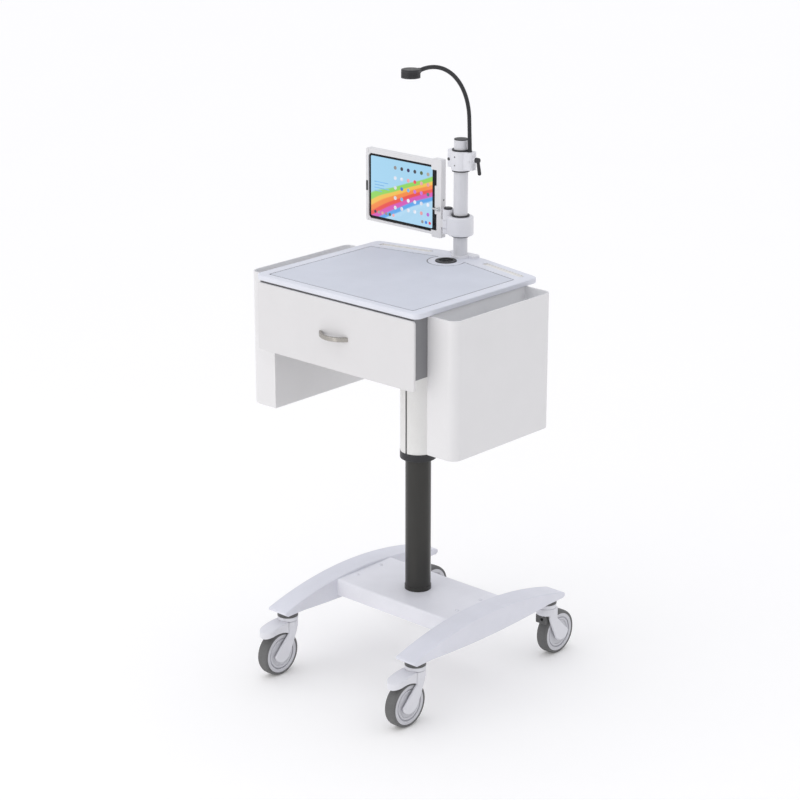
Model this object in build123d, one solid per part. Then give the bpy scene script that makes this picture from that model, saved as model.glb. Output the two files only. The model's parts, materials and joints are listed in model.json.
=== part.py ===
from build123d import *
import math
import os

os.makedirs("parts", exist_ok=True)

# Mobile tablet and equipment cart: four swivel casters, two arched legs, a height-adjusting column,
# a drawer between two side bins under the worktop, and a mast that carries a tablet and a lamp.
# Millimetres. +Z is up, -Y is the front, and the origin is on the floor under the lift column.

# ---- driving dimensions ------------------------------------------------------------------------

RUN_GAP = 0.05        # radial clearance of a running fit
FREE_GAP = 0.5        # gap between pieces that pass each other
CUT = 1.0             # how far a cutter runs past the face that it opens

# casters: reaches are measured from the stem towards the wheel, along Y
WHEEL_R = 62.5
TYRE_WIDTH = 34.0
RIM_R = 54.0
HUB_WIDTH = 31.0
HUB_BOSS_R = 13.0
AXLE_R = 5.0
STEM_PIN_R = 6.0
STEM_PIN_GRIP = 14.0  # length of the stem pin inside the leg
CASTER_X = 235.0      # half track width
STEM_Y = 271.0        # caster stems, fore and aft
TRAIL = 40.5          # wheel centre ahead of the stem
ARM_INNER_X = 19.5    # fork arms, measured from the wheel's middle plane
ARM_OUTER_X = 25.0
ARM_SKIN = 1.5        # material outside each end of the axle
ARM_ROOT = (20.0, 116.0)   # (reach, height) points round the outline of a fork arm
ARM_TOE = (72.0, 63.0)
ARM_SOLE = (46.0, 40.5)
ARM_HEEL = (17.0, 56.0)
ARM_CALF = (1.0, 89.0)
ARM_NAPE_Z = 118.0
ARM_TOE_R = 5.0
ARM_EDGE_R = 1.2
CROWN_R = 27.5
CROWN_BOTTOM_Z = 129.0
CROWN_TOP_Z = 150.0
CAP_RING_R = 28.5
CAP_RING_TOP_Z = 160.5
RING_GROOVE = 2.0     # shadow groove under the cap ring
DARK_RING_Z = 161.0
LUG_HALF_X = 10.0
HOOD_FRONT = 98.0     # reach of the brake pedal
HOOD_BACK = 22.0
HOOD_SIDE = 78.0      # where the round nose starts
HOOD_MIDDLE = 61.0
HOOD_ROOF_Z = (151.0, 147.5, 136.5)    # roof at the back, in the middle and at the nose
HOOD_SKIRT_Z = (120.0, 129.0, 120.0)   # lower edge at the same places
HOOD_WALL = 3.5
HOOD_EDGE_R = 4.0
HOOD_PIN_REACH = 31.0
HOOD_PIN_Z = 139.0
HOOD_PIN_R = 2.5
BLOCK_HALF_X = 16.0   # stop block of the rear casters
BLOCK_NEAR = 10.0
BLOCK_FAR = 25.0
BLOCK_HEIGHT = 25.0
BLOCK_HOLE_R = 5.0

# legs and beam
LEG_WIDTH = 68.0
LEG_HALF_LENGTH = 313.0
LEG_CROWN_Z = 232.0
LEG_END_Z = 186.0
LEG_UNDER_END_Z = 180.0
LEG_UNDER_STEM_Z = 174.0
LEG_UNDER_MID_Z = 165.0
LEG_STEM_FLAT = 32.0  # half length of the flat under each end, round the stem
LEG_CORNER_R = 5.0
LEG_EDGE_R = 4.0
LEG_WALL = 8.0
LEG_POCKET_HALF_Y = 225.0
LEG_POCKET_TOP_Z = 200.0
BEAM_HALF_Y = 110.0
BEAM_BOTTOM_Z = 178.0
BEAM_TOP_Z = 224.0
BEAM_WALL = 6.0
BEAM_EDGE_R = 5.0
SCREW_X = 183.0
SCREW_Y = 48.0
SCREW_HEAD_R = 5.5
SCREW_HEAD_HEIGHT = 2.5

# lift column
TUBE_R = 35.0
TUBE_BORE_R = 32.0
TUBE_TOP_Z = 745.0
TUBE_SEAT = 12.0      # height of the tube's foot, and width of the beam's boss round it
GUIDE_HEIGHT = 24.0
SLEEVE_R = 49.0
SLEEVE_BORE_R = 41.0
COLLAR_R = 49.7
COLLAR_BOTTOM_Z = 605.0
COLLAR_TOP_Z = 626.0
COLLAR_GRIP = 20.0    # length of the collar inside the sleeve
SLOT_WIDTH = 6.0
SLOT_DEPTH = 5.0
SPRING_BODY_R = 14.0
SPRING_BORE_R = 11.0
SPRING_BODY_TOP_Z = 700.0
SPRING_WALL = 10.0
SPRING_ROD_R = 5.0
SPRING_ROD_BOTTOM_Z = 600.0
PISTON_HEIGHT = 12.0

# worktop, cabinet, drawer and bins
TOP_Z = 1128.0
TOP_THICK = 15.0
TOP_HALF_X = 283.0
TOP_FRONT_Y = -323.0
TOP_SIDE_BACK_Y = 147.0
TOP_BACK_Y = 195.0
TOP_BACK_HALF_X = 60.0
TOP_CORNER_R = 20.0
TOP_EDGE_R = 3.0
MAT_HALF_X = 253.0
MAT_FRONT_Y = -303.0
MAT_SIDE_BACK_Y = 86.0
MAT_BACK_Y = 140.0
MAT_CORNER_R = 6.0
MAT_THICK = 3.0
MAT_GROOVE = 2.5
GROMMET_Y = 108.0
GROMMET_R = 29.0
GROMMET_HOLE_R = 20.0
GROMMET_SLEEVE_R = 25.0
GROMMET_LIP = 2.4
GROMMET_RING_R = 49.0
TRAY_NEAR_X = 92.0    # pen trays along the worktop's rear edge
TRAY_FAR_X = 250.0
TRAY_INSET = 32.0
TRAY_WIDTH = 18.0
TRAY_DEPTH = 7.0
TRAY_CORNER_R = 5.0
CABINET_HALF_X = 269.5
CABINET_FRONT_Y = -316.0
CABINET_BACK_Y = 94.0
CABINET_BOTTOM_Z = 953.0
CABINET_WALL = 4.0
RAIL_HEIGHT = 34.0
RAIL_THICK = 5.5
RAIL_Z = 1010.0
RAIL_GROOVE_DEPTH = 2.2
RAIL_LIP = 8.0
RAIL_SETBACK = 6.0
FRONT_HALF_X = 274.5
FRONT_BACK_Y = -317.0
FRONT_BOTTOM_Z = 925.0
FRONT_TOP_Z = 1108.0
FRONT_CORNER_R = 8.0
FRONT_EDGE_R = 2.5
DRAWER_BACK_Y = -56.0
DRAWER_BOTTOM_Z = 970.0
DRAWER_TOP_Z = 1088.0
DRAWER_WALL = 2.0
HANDLE_SPACING = 90.0
HANDLE_REACH = 26.0
HANDLE_THICK = 6.0
HANDLE_HEIGHT = 12.0
HANDLE_Z = 1016.0
BIN_INNER_X = 270.0
BIN_OUTER_X = 361.0
BIN_FRONT_Y = -268.0
BIN_BACK_Y = 108.0
BIN_BOTTOM_Z = 746.0
BIN_TOP_Z = 1111.0
BIN_WALL = 4.0
BIN_CORNER_R = 28.0   # front outer corner
BIN_BACK_CORNER_R = 20.0
BIN_FLOOR_EDGE_R = 3.0

# mast and what it carries
MAST_Y = 165.5
MAST_R = 19.0
MAST_BORE_R = 16.0
MAST_TOP_Z = 1446.0
MAST_CAP_TOP_Z = 1448.5
CAP_GRIP = 15.0
PLATE_THICK = 7.0
PLATE_HALF_X = 46.0
PLATE_FRONT_Y = 170.0
PLATE_BOSS_R = 25.0
PLATE_CORNER_R = 8.0
BUSH_R = 21.0
FLANGE_R = 24.0       # flanges of both mast bushes
FLANGE_THICK = 3.5
ARM_BOTTOM_Z = 1189.0
ARM_TOP_Z = 1240.0
ARM_BARREL_R = 35.0
ARM_EDGE_R = 4.0
PIVOT_X = -36.0
PIVOT_Y = 157.0
PIVOT_BARREL_R = 15.0
PIVOT_TOP_Z = 1254.5
PIVOT_PIN_R = 6.0
PIVOT_CAP_R = 11.5
PIVOT_CAP_HEIGHT = 4.5
TONGUE_BOTTOM_Z = 1203.0
TONGUE_TOP_Z = 1225.0
TONGUE_R = 12.0
TONGUE_FRONT = 6.5    # tongue's front and back, measured from the pivot
TONGUE_BACK = 8.0
TONGUE_SLOT_R = 15.5

# tablet holder
HOLDER_FRONT_Y = 150.0
HOLDER_DEPTH = 17.0
HOLDER_LEFT_X = -329.0
HOLDER_BOTTOM_Z = 1178.0
HOLDER_TOP_Z = 1380.0
HOUSING_LEFT_X = -89.0
HOUSING_RIGHT_X = -55.3
HOUSING_BOTTOM_Z = 1171.0
HOUSING_TOP_Z = 1385.0
HOUSING_CORNER_R = 4.0
TABLET_LEFT_X = -319.0
TABLET_RIGHT_X = -79.0
TABLET_BOTTOM_Z = 1186.0
TABLET_TOP_Z = 1366.0
TABLET_THICK = 7.0
TABLET_SET_BACK = 4.0  # tablet shell behind the holder's front face
TABLET_CORNER_R = 9.0
GLASS_THICK = 1.0
TRAY_SLACK = 1.0      # space round the tablet's edges
RECESS_RIGHT_X = -71.5
REST_BOTTOM_Z = 1235.0  # the housing rests against the tablet's right edge between these heights
REST_TOP_Z = 1312.0
TAB_THICK = 2.5       # corner tabs in front of the glass
TAB_LEFT_X = -91.0
TAB_TOP_HEIGHT = 12.0
TAB_BOTTOM_HEIGHT = 5.0
GUSSET = 9.0
JAW_RIGHT_X = -320.0
JAW_CORNER_R = 5.0
STRIP_BOTTOM_Z = 1250.0
STRIP_TOP_Z = 1308.0
STRIP_LENGTH = 90.0
STRIP_THICK = 2.5
LOCK_X = -65.0
LOCK_Z = 1250.0
LOCK_R = 6.0
LOCK_DEPTH = 12.0
LOCK_NOSE = 3.0
KEY_SLOT_WIDTH = 1.6
KEY_SLOT_LENGTH = 8.0

# lamp clamp, gooseneck and head
CLAMP_BOTTOM_Z = 1366.0
CLAMP_TOP_Z = 1417.0
CLAMP_R = 26.0
CLAMP_BORE_R = 22.0
EAR_LEFT_X = -40.0
EAR_LEFT_HALF_Y = 11.0
EAR_LEFT_CORNER_R = 5.0
EAR_RIGHT_X = 46.0
EAR_RIGHT_HALF_Y = 15.0
EAR_RIGHT_CORNER_R = 12.0
LEVER_X = 51.0        # face of the lever's boss
LEVER_BOSS_R = 6.0
LEVER_Z = 1398.0
STUD_R = 3.0
STUD_GRIP = 15.0
LEVER_HUB_R = 7.0
LEVER_HUB_LENGTH = 11.0
LEVER_SPLAY = 0.18    # sideways run of the handle for each unit of fall
LEVER_LENGTH = 35.0
LEVER_ROOT_R = 4.3
LEVER_TIP_R = 4.8
NECK_X = 30.5
NECK_R = 5.5
FERRULE_R = 6.0
FERRULE_HEIGHT = 5.0
NECK_LEAN = 2.5       # degrees forward of upright, below the arc
NECK_BEND_Z = 1470.0
NECK_ARC_Z = 1505.6
NECK_ARC_R = 163.0
NECK_DROOP = 8.0      # degrees past level at the lamp end
HEAD_Y = -66.2
HEAD_R = 24.6
HEAD_BOTTOM_Z = 1644.8
HEAD_TOP_Z = 1666.8
HEAD_WALL = 3.0
LENS_THICK = 2.5
HEAD_GROOVES = 3
GROOVE_FIRST = 5.0    # height of the lowest cooling groove above the head's underside
GROOVE_PITCH = 4.0
GROOVE_WIDTH = 1.4
GROOVE_DEPTH = 1.2

CASTERS = {"front_left": (-1, -1), "front_right": (1, -1), "rear_left": (-1, 1), "rear_right": (1, 1)}


# ---- shape helpers -----------------------------------------------------------------------------

def box(x, y, z):
    """Box between pairs of limits along each axis."""
    size = Box(x[1] - x[0], y[1] - y[0], z[1] - z[0])
    return Pos((x[0] + x[1]) / 2, (y[0] + y[1]) / 2, (z[0] + z[1]) / 2) * size


def post(radius, z, at=(0, 0)):
    """Upright cylinder between two heights."""
    return Pos(at[0], at[1], (z[0] + z[1]) / 2) * Cylinder(radius, z[1] - z[0])


def tube(outer, bore, z, at=(0, 0)):
    """Upright tube between two heights."""
    return post(outer, z, at) - post(bore, (z[0] - CUT, z[1] + CUT), at)


def bar_x(radius, x, y, z):
    """Round bar along X between two limits."""
    return Pos((x[0] + x[1]) / 2, y, z) * Rot(0, 90, 0) * Cylinder(radius, x[1] - x[0])


def bar_y(radius, x, y, z):
    """Round bar along Y between two limits."""
    return Pos(x, (y[0] + y[1]) / 2, z) * Rot(90, 0, 0) * Cylinder(radius, y[1] - y[0])


def upright(points, z):
    """Closed outline in plan, raised between two heights."""
    return Pos(0, 0, z[0]) * extrude(make_face(Polyline(*points, close=True)), z[1] - z[0])


def side_plate(outline, x):
    """Closed outline in (y, z), thickened along X between two limits."""
    face = Plane.YZ.offset(x[0]) * make_face(outline)
    return extrude(face, x[1] - x[0])


def around(centre, half):
    """Limits at equal distances from a centre."""
    return (centre - half, centre + half)


def upright_edges(shape):
    """Edges parallel to Z."""
    return shape.edges().filter_by(Axis.Z)


def top_edges(shape):
    """Edges round the highest face."""
    return shape.faces().sort_by(Axis.Z)[-1].edges()


def outer_rim(shape, level):
    """Largest circular edge at the lowest (0) or highest (-1) level."""
    circles = shape.edges().filter_by(GeomType.CIRCLE)
    return circles.group_by(Axis.Z)[level].sort_by(SortBy.LENGTH)[-1]


def mirrored(shape):
    """The same shape on the other side of the YZ plane."""
    return mirror(shape, about=Plane.YZ)


# ---- base: beam, legs, column foot -------------------------------------------------------------

def base_beam():
    """Shallow box beam between the legs, open below, with a solid seat under the column."""
    half_x, roof_z = CASTER_X - LEG_WIDTH / 2, BEAM_TOP_Z - BEAM_WALL
    outer = box(around(0, half_x), around(0, BEAM_HALF_Y), (BEAM_BOTTOM_Z, BEAM_TOP_Z))
    outer = fillet(top_edges(outer).filter_by(Axis.X), BEAM_EDGE_R)
    inner = box(around(0, half_x - BEAM_WALL), around(0, BEAM_HALF_Y - BEAM_WALL), (BEAM_BOTTOM_Z, roof_z))
    return outer - inner + post(TUBE_R + TUBE_SEAT, (BEAM_BOTTOM_Z, roof_z))


def leg(side):
    """Arched casting: an arc on top, a shallow arch below, thin blunt ends, hollow underneath."""
    centre, near, far = side * CASTER_X, STEM_Y - LEG_STEM_FLAT, STEM_Y + LEG_STEM_FLAT
    end, low = LEG_HALF_LENGTH, LEG_UNDER_STEM_Z
    top = ThreePointArc((-end, LEG_END_Z), (0, LEG_CROWN_Z), (end, LEG_END_Z))
    front = Polyline((end, LEG_END_Z), (end, LEG_UNDER_END_Z), (far, low), (near, low))
    arch = ThreePointArc((near, low), (0, LEG_UNDER_MID_Z), (-near, low))
    back = Polyline((-near, low), (-far, low), (-end, LEG_UNDER_END_Z), (-end, LEG_END_Z))
    outline = [*top.edges(), *front.edges(), *arch.edges(), *back.edges()]
    body = side_plate(outline, around(centre, LEG_WIDTH / 2))
    body = fillet(upright_edges(body), LEG_CORNER_R)
    body = fillet(body.edges().filter_by(GeomType.CIRCLE).sort_by(SortBy.LENGTH)[-2:], LEG_EDGE_R)
    body -= box(around(centre, LEG_WIDTH / 2 - LEG_WALL), around(0, LEG_POCKET_HALF_Y),
                (LEG_UNDER_MID_Z - CUT, LEG_POCKET_TOP_Z))
    for fore_aft in (-1, 1):
        stem = (centre, fore_aft * STEM_Y)
        body -= post(STEM_PIN_R, (low - CUT, low + STEM_PIN_GRIP + CUT), stem)
    return body


def base_screws():
    """Four button-head screws that hold the beam to the legs."""
    screws = []
    for x in (-SCREW_X, SCREW_X):
        for y in (-SCREW_Y, SCREW_Y):
            head = post(SCREW_HEAD_R, (BEAM_TOP_Z, BEAM_TOP_Z + SCREW_HEAD_HEIGHT), (x, y))
            head = fillet(top_edges(head), 0.6 * SCREW_HEAD_HEIGHT)
            socket = post(0.4 * SCREW_HEAD_R, (BEAM_TOP_Z + SCREW_HEAD_HEIGHT / 2, BEAM_TOP_Z + 4), (x, y))
            screws.append(head - socket)
    return Compound(children=screws)


def caster_stems():
    """Dark collar and pivot pin of each caster, fixed in its leg."""
    stems = []
    for side, end in CASTERS.values():
        at = (side * CASTER_X, end * STEM_Y)
        collar = post(CAP_RING_R, (DARK_RING_Z, LEG_UNDER_STEM_Z), at)
        pin = post(STEM_PIN_R, (CROWN_BOTTOM_Z + CUT, LEG_UNDER_STEM_Z + STEM_PIN_GRIP), at)
        stems.append(collar + pin)
    return Compound(children=stems)


def column_tube():
    """Dark lift tube with a slightly wider foot."""
    body = tube(TUBE_R, TUBE_BORE_R, (BEAM_TOP_Z, TUBE_TOP_Z))
    foot = tube(TUBE_R + 1.5, TUBE_BORE_R, (BEAM_TOP_Z, BEAM_TOP_Z + TUBE_SEAT))
    return body + fillet(outer_rim(foot, -1), 1)


def column_guide():
    """Plastic guide ring on top of the dark tube, running in the sleeve."""
    return tube(SLEEVE_BORE_R - RUN_GAP, TUBE_R, (TUBE_TOP_Z - GUIDE_HEIGHT, TUBE_TOP_Z))


def gas_spring_body():
    """Cylinder of the gas spring, standing on the beam inside the lift tube."""
    body = post(SPRING_BODY_R, (BEAM_TOP_Z, SPRING_BODY_TOP_Z))
    bore = post(SPRING_BORE_R, (BEAM_TOP_Z + SPRING_WALL, SPRING_BODY_TOP_Z - SPRING_WALL))
    gland = post(SPRING_ROD_R + RUN_GAP, (SPRING_BODY_TOP_Z - 2 * SPRING_WALL, SPRING_BODY_TOP_Z + CUT))
    return body - bore - gland


# ---- casters -----------------------------------------------------------------------------------

def from_stem(shape, at):
    """Move a shape drawn with its reach along +Y from the stem to its place on a front or rear caster."""
    shape = Pos(0, STEM_Y, 0) * shape
    return shape if at[1] > 0 else mirror(shape, about=Plane.XZ)


def reach_limits(near, far, at):
    """Y limits of a piece that lies between two reaches from the stem."""
    return sorted((at[1] * (STEM_Y + near), at[1] * (STEM_Y + far)))


def caster_centre(at):
    """X of the wheel's middle plane, the stem's place in plan, and Y of the axle."""
    x, stem_y = at[0] * CASTER_X, at[1] * STEM_Y
    return x, (x, stem_y), at[1] * (STEM_Y + TRAIL)


def fork_arm(at, hand):
    """Blade from the crown to the axle: a slanting front edge, a wide round lower end, a hollow back."""
    x0 = caster_centre(at)[0]
    back = -math.sqrt(CROWN_R ** 2 - ARM_OUTER_X ** 2)
    top_z = CROWN_TOP_Z - RING_GROOVE
    corner, top, nape = ((back, top_z), (ARM_ROOT[0], top_z), (back, ARM_NAPE_Z))
    outline = [Line(corner, top), Line(top, ARM_ROOT), Line(ARM_ROOT, ARM_TOE),
               ThreePointArc(ARM_TOE, ARM_SOLE, ARM_HEEL), ThreePointArc(ARM_HEEL, ARM_CALF, nape),
               Line(nape, corner)]
    inner, outer = sorted((x0 + hand * ARM_INNER_X, x0 + hand * ARM_OUTER_X))
    blade = from_stem(side_plate(outline, (inner, outer)), at)
    toe = (x0, at[1] * (STEM_Y + ARM_TOE[0]), ARM_TOE[1])
    blade = fillet(blade.edges().filter_by(Axis.X).sort_by_distance(toe)[0], ARM_TOE_R)
    outside = blade.faces().sort_by(Axis.X)[-1 if hand > 0 else 0]
    return fillet(outside.edges().filter_by(lambda edge: edge.center().Z < ARM_ROOT[1]), ARM_EDGE_R)


def caster_fork(at):
    """Round crown with a white cap ring, two broad arms and, at the front, a cross pin."""
    x0, stem, axle_y = caster_centre(at)
    fork = post(CROWN_R, (CROWN_BOTTOM_Z, CROWN_TOP_Z), stem)
    fork -= tube(CROWN_R + CUT, CROWN_R - RING_GROOVE, (CROWN_TOP_Z - RING_GROOVE, CROWN_TOP_Z), stem)
    ring = post(CAP_RING_R, (CROWN_TOP_Z, CAP_RING_TOP_Z), stem)
    fork += fillet(ring.edges().filter_by(GeomType.CIRCLE), 1.5)
    fork -= post(STEM_PIN_R + RUN_GAP, (CROWN_BOTTOM_Z - CUT, CAP_RING_TOP_Z + CUT), stem)
    for hand in (-1, 1):
        fork += fork_arm(at, hand)
    fork -= bar_x(AXLE_R, around(x0, ARM_OUTER_X - ARM_SKIN), axle_y, WHEEL_R)
    if at[1] < 0:
        lug_y = reach_limits(CROWN_R - 4, HOOD_PIN_REACH + 4, at)
        fork += box(around(x0, LUG_HALF_X), lug_y, (HOOD_PIN_Z - 5, HOOD_PIN_Z + 3.5))
        fork += bar_x(HOOD_PIN_R, around(x0, ARM_OUTER_X), at[1] * (STEM_Y + HOOD_PIN_REACH), HOOD_PIN_Z)
    return fork


def hood_shape(at, wall):
    """Hood of the brake pedal, a wall's thickness inside its outer skin: arched side view, round nose."""
    x0 = caster_centre(at)[0]
    half, near, far = ARM_OUTER_X - wall, HOOD_BACK - 2 * wall, HOOD_FRONT - wall
    reaches = (near, HOOD_MIDDLE, far)
    roof = [(reach, z - wall) for reach, z in zip(reaches, HOOD_ROOF_Z)]
    skirt = [(reach, z - 3 * wall) for reach, z in zip(reversed(reaches), HOOD_SKIRT_Z)]
    outline = [ThreePointArc(*roof), Line(roof[2], skirt[0]), ThreePointArc(*skirt), Line(skirt[2], roof[0])]
    nose = ThreePointArc((x0 + half, HOOD_SIDE), (x0, far), (x0 - half, HOOD_SIDE))
    sides = Polyline((x0 - half, HOOD_SIDE), (x0 - half, near), (x0 + half, near), (x0 + half, HOOD_SIDE))
    plan = extrude(make_face([nose, sides]), CAP_RING_TOP_Z)
    return from_stem(side_plate(outline, around(x0, half)) & plan, at)


def brake_pedal(at):
    """Toe pedal: a hood over the tyre, open below and behind, hinged on the fork's cross pin."""
    x0, stem, _ = caster_centre(at)
    hood = hood_shape(at, 0)
    roof_edges = hood.faces().sort_by(Axis.Z)[-1].edges()
    hood = fillet(roof_edges.filter_by(GeomType.LINE, reverse=True), HOOD_EDGE_R) - hood_shape(at, HOOD_WALL)
    hood -= post(CROWN_R + RING_GROOVE, (WHEEL_R, CAP_RING_TOP_Z), stem)
    pin_y = at[1] * (STEM_Y + HOOD_PIN_REACH)
    return hood - bar_x(HOOD_PIN_R + RUN_GAP, around(x0, ARM_OUTER_X + CUT), pin_y, HOOD_PIN_Z)


def brake_block(at):
    """Dark stop block between the fork arms of a rear caster, on the side away from the wheel."""
    x0 = caster_centre(at)[0]
    y = reach_limits(-BLOCK_FAR, -BLOCK_NEAR, at)
    block = box(around(x0, BLOCK_HALF_X), y, (CROWN_BOTTOM_Z - BLOCK_HEIGHT, CROWN_BOTTOM_Z))
    block = fillet(block.edges().filter_by(Axis.X), 3)
    hole_y = (y[0] - CUT, y[1] + CUT)
    return block - bar_y(BLOCK_HOLE_R, x0 + 5, hole_y, CROWN_BOTTOM_Z - 11)


def caster_wheel(at, half_section):
    """Turn a half section, given as (radius, half width) points, about the axle."""
    x0, _, axle_y = caster_centre(at)
    section = half_section + [(radius, -x) for radius, x in reversed(half_section)]
    face = make_face(Polyline(*[(x, radius) for radius, x in section], close=True))
    return Pos(x0, axle_y, WHEEL_R) * revolve(face, Axis.X, 360)


def caster_hub(at):
    """Light disc wheel with a raised rim, two shallow rings and a boss."""
    half = HUB_WIDTH / 2
    return caster_wheel(at, [
        (AXLE_R + RUN_GAP, half + 2), (HUB_BOSS_R, half + 2), (HUB_BOSS_R, half - 1),
        (RIM_R - 20, half - 3), (RIM_R - 18, half - 1), (RIM_R - 13, half - 1), (RIM_R - 12.5, half - 4.5),
        (RIM_R - 10, half - 4.5), (RIM_R - 9.5, half), (RIM_R, half)])


def caster_tyre(at):
    """Rubber tread ring with rounded shoulders."""
    half = TYRE_WIDTH / 2
    return caster_wheel(at, [
        (RIM_R, half - 1), (RIM_R + 2, half), (WHEEL_R - 4.5, half), (WHEEL_R - 1.6, half - 2.2),
        (WHEEL_R - 0.3, half - 6), (WHEEL_R, half - 10)])


def caster_axle(at):
    x0, _, axle_y = caster_centre(at)
    return bar_x(AXLE_R, around(x0, ARM_OUTER_X - ARM_SKIN), axle_y, WHEEL_R)


# ---- lifting part ------------------------------------------------------------------------------

SLEEVE_TOP_Z = TOP_Z - TOP_THICK - CABINET_WALL


def column_sleeve():
    """White outer tube with a narrow slot down its front."""
    body = tube(SLEEVE_R, SLEEVE_BORE_R, (COLLAR_TOP_Z, SLEEVE_TOP_Z))
    slot = box(around(0, SLOT_WIDTH / 2), (-SLEEVE_R - CUT, -SLEEVE_R + SLOT_DEPTH),
               (COLLAR_TOP_Z - CUT, SLEEVE_TOP_Z + CUT))
    return body - slot


def column_collar():
    """Black bearing collar at the sleeve's mouth, running on the dark tube."""
    ring = tube(COLLAR_R, TUBE_R + RUN_GAP, (COLLAR_BOTTOM_Z, COLLAR_TOP_Z))
    ring = fillet(outer_rim(ring, 0), 2)
    return ring + tube(SLEEVE_BORE_R, TUBE_R + RUN_GAP, (COLLAR_TOP_Z, COLLAR_TOP_Z + COLLAR_GRIP))


def gas_spring_rod():
    rod = post(SPRING_ROD_R, (SPRING_ROD_BOTTOM_Z, SLEEVE_TOP_Z))
    return rod + post(SPRING_BORE_R - RUN_GAP, (SPRING_ROD_BOTTOM_Z, SPRING_ROD_BOTTOM_Z + PISTON_HEIGHT))


def cabinet():
    """Dark sheet-metal frame under the worktop: roof, two sides and a back, open in front and below."""
    roof_z = TOP_Z - TOP_THICK
    body = box(around(0, CABINET_HALF_X), (CABINET_FRONT_Y, CABINET_BACK_Y), (CABINET_BOTTOM_Z, roof_z))
    return body - box(around(0, CABINET_HALF_X - CABINET_WALL),
                      (CABINET_FRONT_Y - CUT, CABINET_BACK_Y - CABINET_WALL),
                      (CABINET_BOTTOM_Z - CUT, roof_z - CABINET_WALL))


def rails(outer_x):
    """A pair of grooved drawer slides whose outer faces are at a given distance from the middle."""
    x, y = (outer_x - RAIL_THICK, outer_x), (CABINET_FRONT_Y + RAIL_SETBACK, DRAWER_BACK_Y - 4)
    rail = box(x, y, (RAIL_Z, RAIL_Z + RAIL_HEIGHT))
    rail -= box((x[0] - CUT, x[0] + RAIL_GROOVE_DEPTH), (y[0] - CUT, y[1] + CUT),
                (RAIL_Z + RAIL_LIP, RAIL_Z + RAIL_HEIGHT - RAIL_LIP))
    return Compound(children=[rail, mirrored(rail)])


def cabinet_rails():
    return rails(CABINET_HALF_X - CABINET_WALL)


def drawer_rails():
    return rails(CABINET_HALF_X - CABINET_WALL - RAIL_THICK - FREE_GAP)


def back_edge_y(x, inset=0.0):
    """Y of the worktop's rear edge, which falls away on each side of a short middle stretch."""
    slope = (TOP_BACK_Y - TOP_SIDE_BACK_Y) / (TOP_HALF_X - TOP_BACK_HALF_X)
    run = max(0.0, abs(x) - TOP_BACK_HALF_X)
    return TOP_BACK_Y - slope * run - inset


def pen_tray(hand):
    """Shallow groove along one half of the worktop's rear edge."""
    near, far = hand * TRAY_NEAR_X, hand * TRAY_FAR_X
    front, back = TRAY_INSET + TRAY_WIDTH / 2, TRAY_INSET - TRAY_WIDTH / 2
    plan = [(near, back_edge_y(near, back)), (far, back_edge_y(far, back)),
            (far, back_edge_y(far, front)), (near, back_edge_y(near, front))]
    groove = upright(plan, (TOP_Z - TRAY_DEPTH, TOP_Z + CUT))
    return fillet(upright_edges(groove), TRAY_CORNER_R)


def tabletop():
    """Worktop slab with a bevelled rear edge, a recess for the mat, two pen trays and a cable hole."""
    z = (TOP_Z - TOP_THICK, TOP_Z)
    plan = [(-TOP_HALF_X, TOP_FRONT_Y), (TOP_HALF_X, TOP_FRONT_Y), (TOP_HALF_X, TOP_SIDE_BACK_Y),
            (TOP_BACK_HALF_X, TOP_BACK_Y), (-TOP_BACK_HALF_X, TOP_BACK_Y), (-TOP_HALF_X, TOP_SIDE_BACK_Y)]
    slab = fillet(upright_edges(upright(plan, z)), TOP_CORNER_R)
    slab = fillet(top_edges(slab) + slab.faces().sort_by(Axis.Z)[0].edges(), TOP_EDGE_R)
    slab -= mat_plan(0, (TOP_Z - MAT_THICK, TOP_Z + CUT))
    slab -= pen_tray(-1) + pen_tray(1)
    return slab - post(GROMMET_SLEEVE_R, (z[0] - CUT, z[1] + CUT), (0, GROMMET_Y))


def mat_plan(inset, z):
    """Mat outline: five-sided, with a round bite for the cable grommet's raised ring."""
    half, front = MAT_HALF_X - inset, MAT_FRONT_Y + inset
    plan = [(-half, front), (half, front), (half, MAT_SIDE_BACK_Y - inset), (0, MAT_BACK_Y - inset),
            (-half, MAT_SIDE_BACK_Y - inset)]
    body = upright(plan, z)
    body = fillet(upright_edges(body).sort_by(Axis.Y)[:2], MAT_CORNER_R)
    return body - post(GROMMET_RING_R + inset, (z[0] - CUT, z[1] + CUT), (0, GROMMET_Y))


def worktop_mat():
    return mat_plan(MAT_GROOVE, (TOP_Z - MAT_THICK, TOP_Z))


def cable_grommet():
    """Black grommet: a flange on the worktop and a sleeve through it."""
    at = (0, GROMMET_Y)
    flange = tube(GROMMET_R, GROMMET_HOLE_R, (TOP_Z, TOP_Z + GROMMET_LIP), at)
    flange = fillet(outer_rim(flange, -1), 1.5)
    return flange + tube(GROMMET_SLEEVE_R, GROMMET_HOLE_R, (TOP_Z - TOP_THICK, TOP_Z), at)


def round_bin_corners(block, inset):
    """Round the two outer upright corners: a large radius in front, a small one behind."""
    for place, radius in ((0, BIN_CORNER_R), (-1, BIN_BACK_CORNER_R)):
        corner = upright_edges(block).group_by(Axis.X)[-1].sort_by(Axis.Y)[place]
        block = fillet(corner, radius - inset)
    return block


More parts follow.
